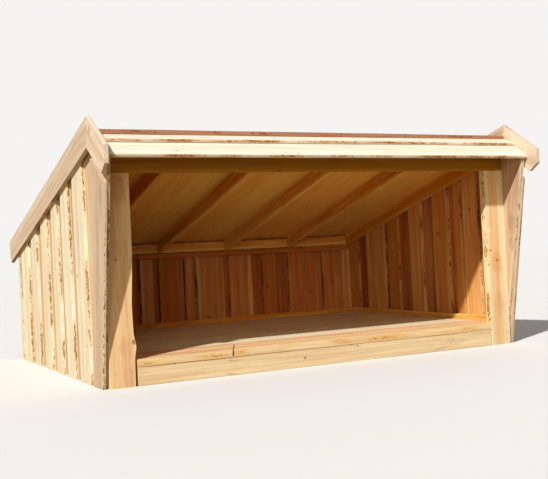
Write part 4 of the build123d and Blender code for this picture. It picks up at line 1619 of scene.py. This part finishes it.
@dataclass
class Studio:
    """The pale floor, the crisp sun with its soft helpers, and the photograph's camera."""

    camera_place: Triple = (-3.6231, -7.4964, 0.8976)
    yaw: float = 0.4697
    pitch: float = 0.0139
    roll: float = -0.0506
    focal_px: float = 914.35
    image_width_px: float = 548.0
    sensor_mm: float = 36.0
    floor_half_m: float = 60.0
    floor_colour: str = "e2e0dc"
    floor_roughness: float = 0.9
    floor_shine: float = 0.1
    backdrop_colour: str = "f5f4f2"
    # What the timber gets back from below: warm and dim
    floor_bounce: str = "866e4a"
    key_strength: float = 4.3
    key_softness_deg: float = 2.0
    key_from: Triple = (-1.27, -1.0, 1.41)
    fill_strength: float = 0.3
    fill_softness_deg: float = 60.0
    fill_from: Triple = (0.9, 0.8, 0.9)
    front_strength: float = 0.5
    front_softness_deg: float = 24.0
    front_from: Triple = (-0.55, -1.0, 0.17)
    front_colour: str = "ffeed8"
    sky_strength: float = 0.22

    def build(self) -> None:
        """Build the stage, the lamps, the world and the camera."""
        self.floor()
        self.lamp("key_light", self.key_from, self.key_strength, self.key_softness_deg)
        self.lamp("fill_light", self.fill_from, self.fill_strength, self.fill_softness_deg)
        self.lamp("front_light", self.front_from, self.front_strength,
                  self.front_softness_deg, self.front_colour)
        self.world()
        self.camera()

    def floor(self) -> None:
        """Lay the plain pale floor."""
        reach = self.floor_half_m
        mesh = bpy.data.meshes.new("studio_floor")
        mesh.from_pydata([(-reach, -reach, 0), (reach, -reach, 0), (reach, reach, 0),
                          (-reach, reach, 0)], [], [(0, 1, 2, 3)])
        ground = put_in_scene("studio_floor", mesh)
        material = bpy.data.materials.new("pale_studio_floor")
        material.use_nodes = True
        tree = material.node_tree
        shader = tree.nodes["Principled BSDF"]
        add = partial(add_node, tree)
        shade = add("ShaderNodeMix",
                    {0: self.looked_at(add), 6: srgb(self.floor_bounce),
                     7: srgb(self.floor_colour)}, data_type="RGBA")
        tree.links.new(shade[2], shader.inputs["Base Color"])
        shader.inputs["Roughness"].default_value = self.floor_roughness
        shader.inputs["Specular IOR Level"].default_value = self.floor_shine
        mesh.materials.append(material)

    def lamp(self, name: str, toward: Triple, strength: float, softness_deg: float,
             colour: str = "ffffff") -> None:
        """Add a far lamp.

        Args:
            name: the lamp's name.
            toward: where it stands, seen from the object.
            strength: its energy.
            softness_deg: how wide it looks from the object.
            colour: its sRGB colour.
        """
        light = bpy.data.lights.new(name, "SUN")
        light.energy = strength
        light.angle = math.radians(softness_deg)
        light.color = srgb(colour)[:3]
        lamp = put_in_scene(name, light)
        lamp.rotation_euler = Vector(toward).to_track_quat("Z", "Y").to_euler()

    def world(self) -> None:
        """Light the scene evenly, and show a pale backdrop behind it."""
        world = bpy.data.worlds.new("studio")
        bpy.context.scene.world = world
        world.use_nodes = True
        world.node_tree.nodes.clear()
        add = partial(add_node, world.node_tree)
        level = add("ShaderNodeMapRange",
                    {0: self.looked_at(add), 1: 0.0, 2: 1.0, 3: self.sky_strength, 4: 1.0})
        back = add("ShaderNodeBackground",
                   {"Color": srgb(self.backdrop_colour), "Strength": level[0]})
        add("ShaderNodeOutputWorld", {"Surface": back[0]})

    def looked_at(self, add: Adder) -> Socket:
        """Return 1 for what the camera sees, also in a mirror or through glass, and else 0.

        Args:
            add: the function that adds a node to the tree.

        Returns:
            The socket with that number.
        """
        path = add("ShaderNodeLightPath")
        plain = add("ShaderNodeMath", {0: path["Is Camera Ray"], 1: path["Is Glossy Ray"]},
                    operation="MAXIMUM")
        return add("ShaderNodeMath", {0: plain[0], 1: path["Is Transmission Ray"]},
                   operation="MAXIMUM")[0]

    def camera(self) -> None:
        """Set the camera from its fitted place, heading, tilt, roll and focal length."""
        ahead = Vector((math.sin(self.yaw) * math.cos(self.pitch),
                        math.cos(self.yaw) * math.cos(self.pitch), math.sin(self.pitch)))
        side = ahead.cross(Vector(UP)).normalized()
        above = side.cross(ahead)
        turn_cos, turn_sin = math.cos(self.roll), math.sin(self.roll)
        right = turn_cos * side + turn_sin * above
        top = turn_cos * above - turn_sin * side
        lens = bpy.data.cameras.new("photo_camera")
        lens.sensor_fit = "HORIZONTAL"
        lens.sensor_width = self.sensor_mm
        lens.lens = self.focal_px / self.image_width_px * self.sensor_mm
        camera = put_in_scene("photo_camera", lens)
        turned = Matrix((right, top, -ahead)).transposed()
        camera.matrix_world = Matrix.Translation(self.camera_place) @ turned.to_4x4()
        bpy.context.scene.camera = camera


def main() -> None:
    """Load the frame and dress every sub-assembly."""
    logging.basicConfig(level=logging.INFO, format="%(message)s")
    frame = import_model()
    finishes = {timber: timber.value.build() for timber in Timber}
    nails: list[tuple[Vector, Vector]] = []
    for assembly in (Walls, Frame, Floor, Roof):
        LOG.info("building %s", assembly.__name__)
        assembly(frame["nodes"], finishes, nails).build()
    Nails(SteelFinish().build()).build(nails)
    Studio().build()
    bpy.context.scene.view_settings.view_transform = "Standard"


if __name__ == "__main__":
    main()
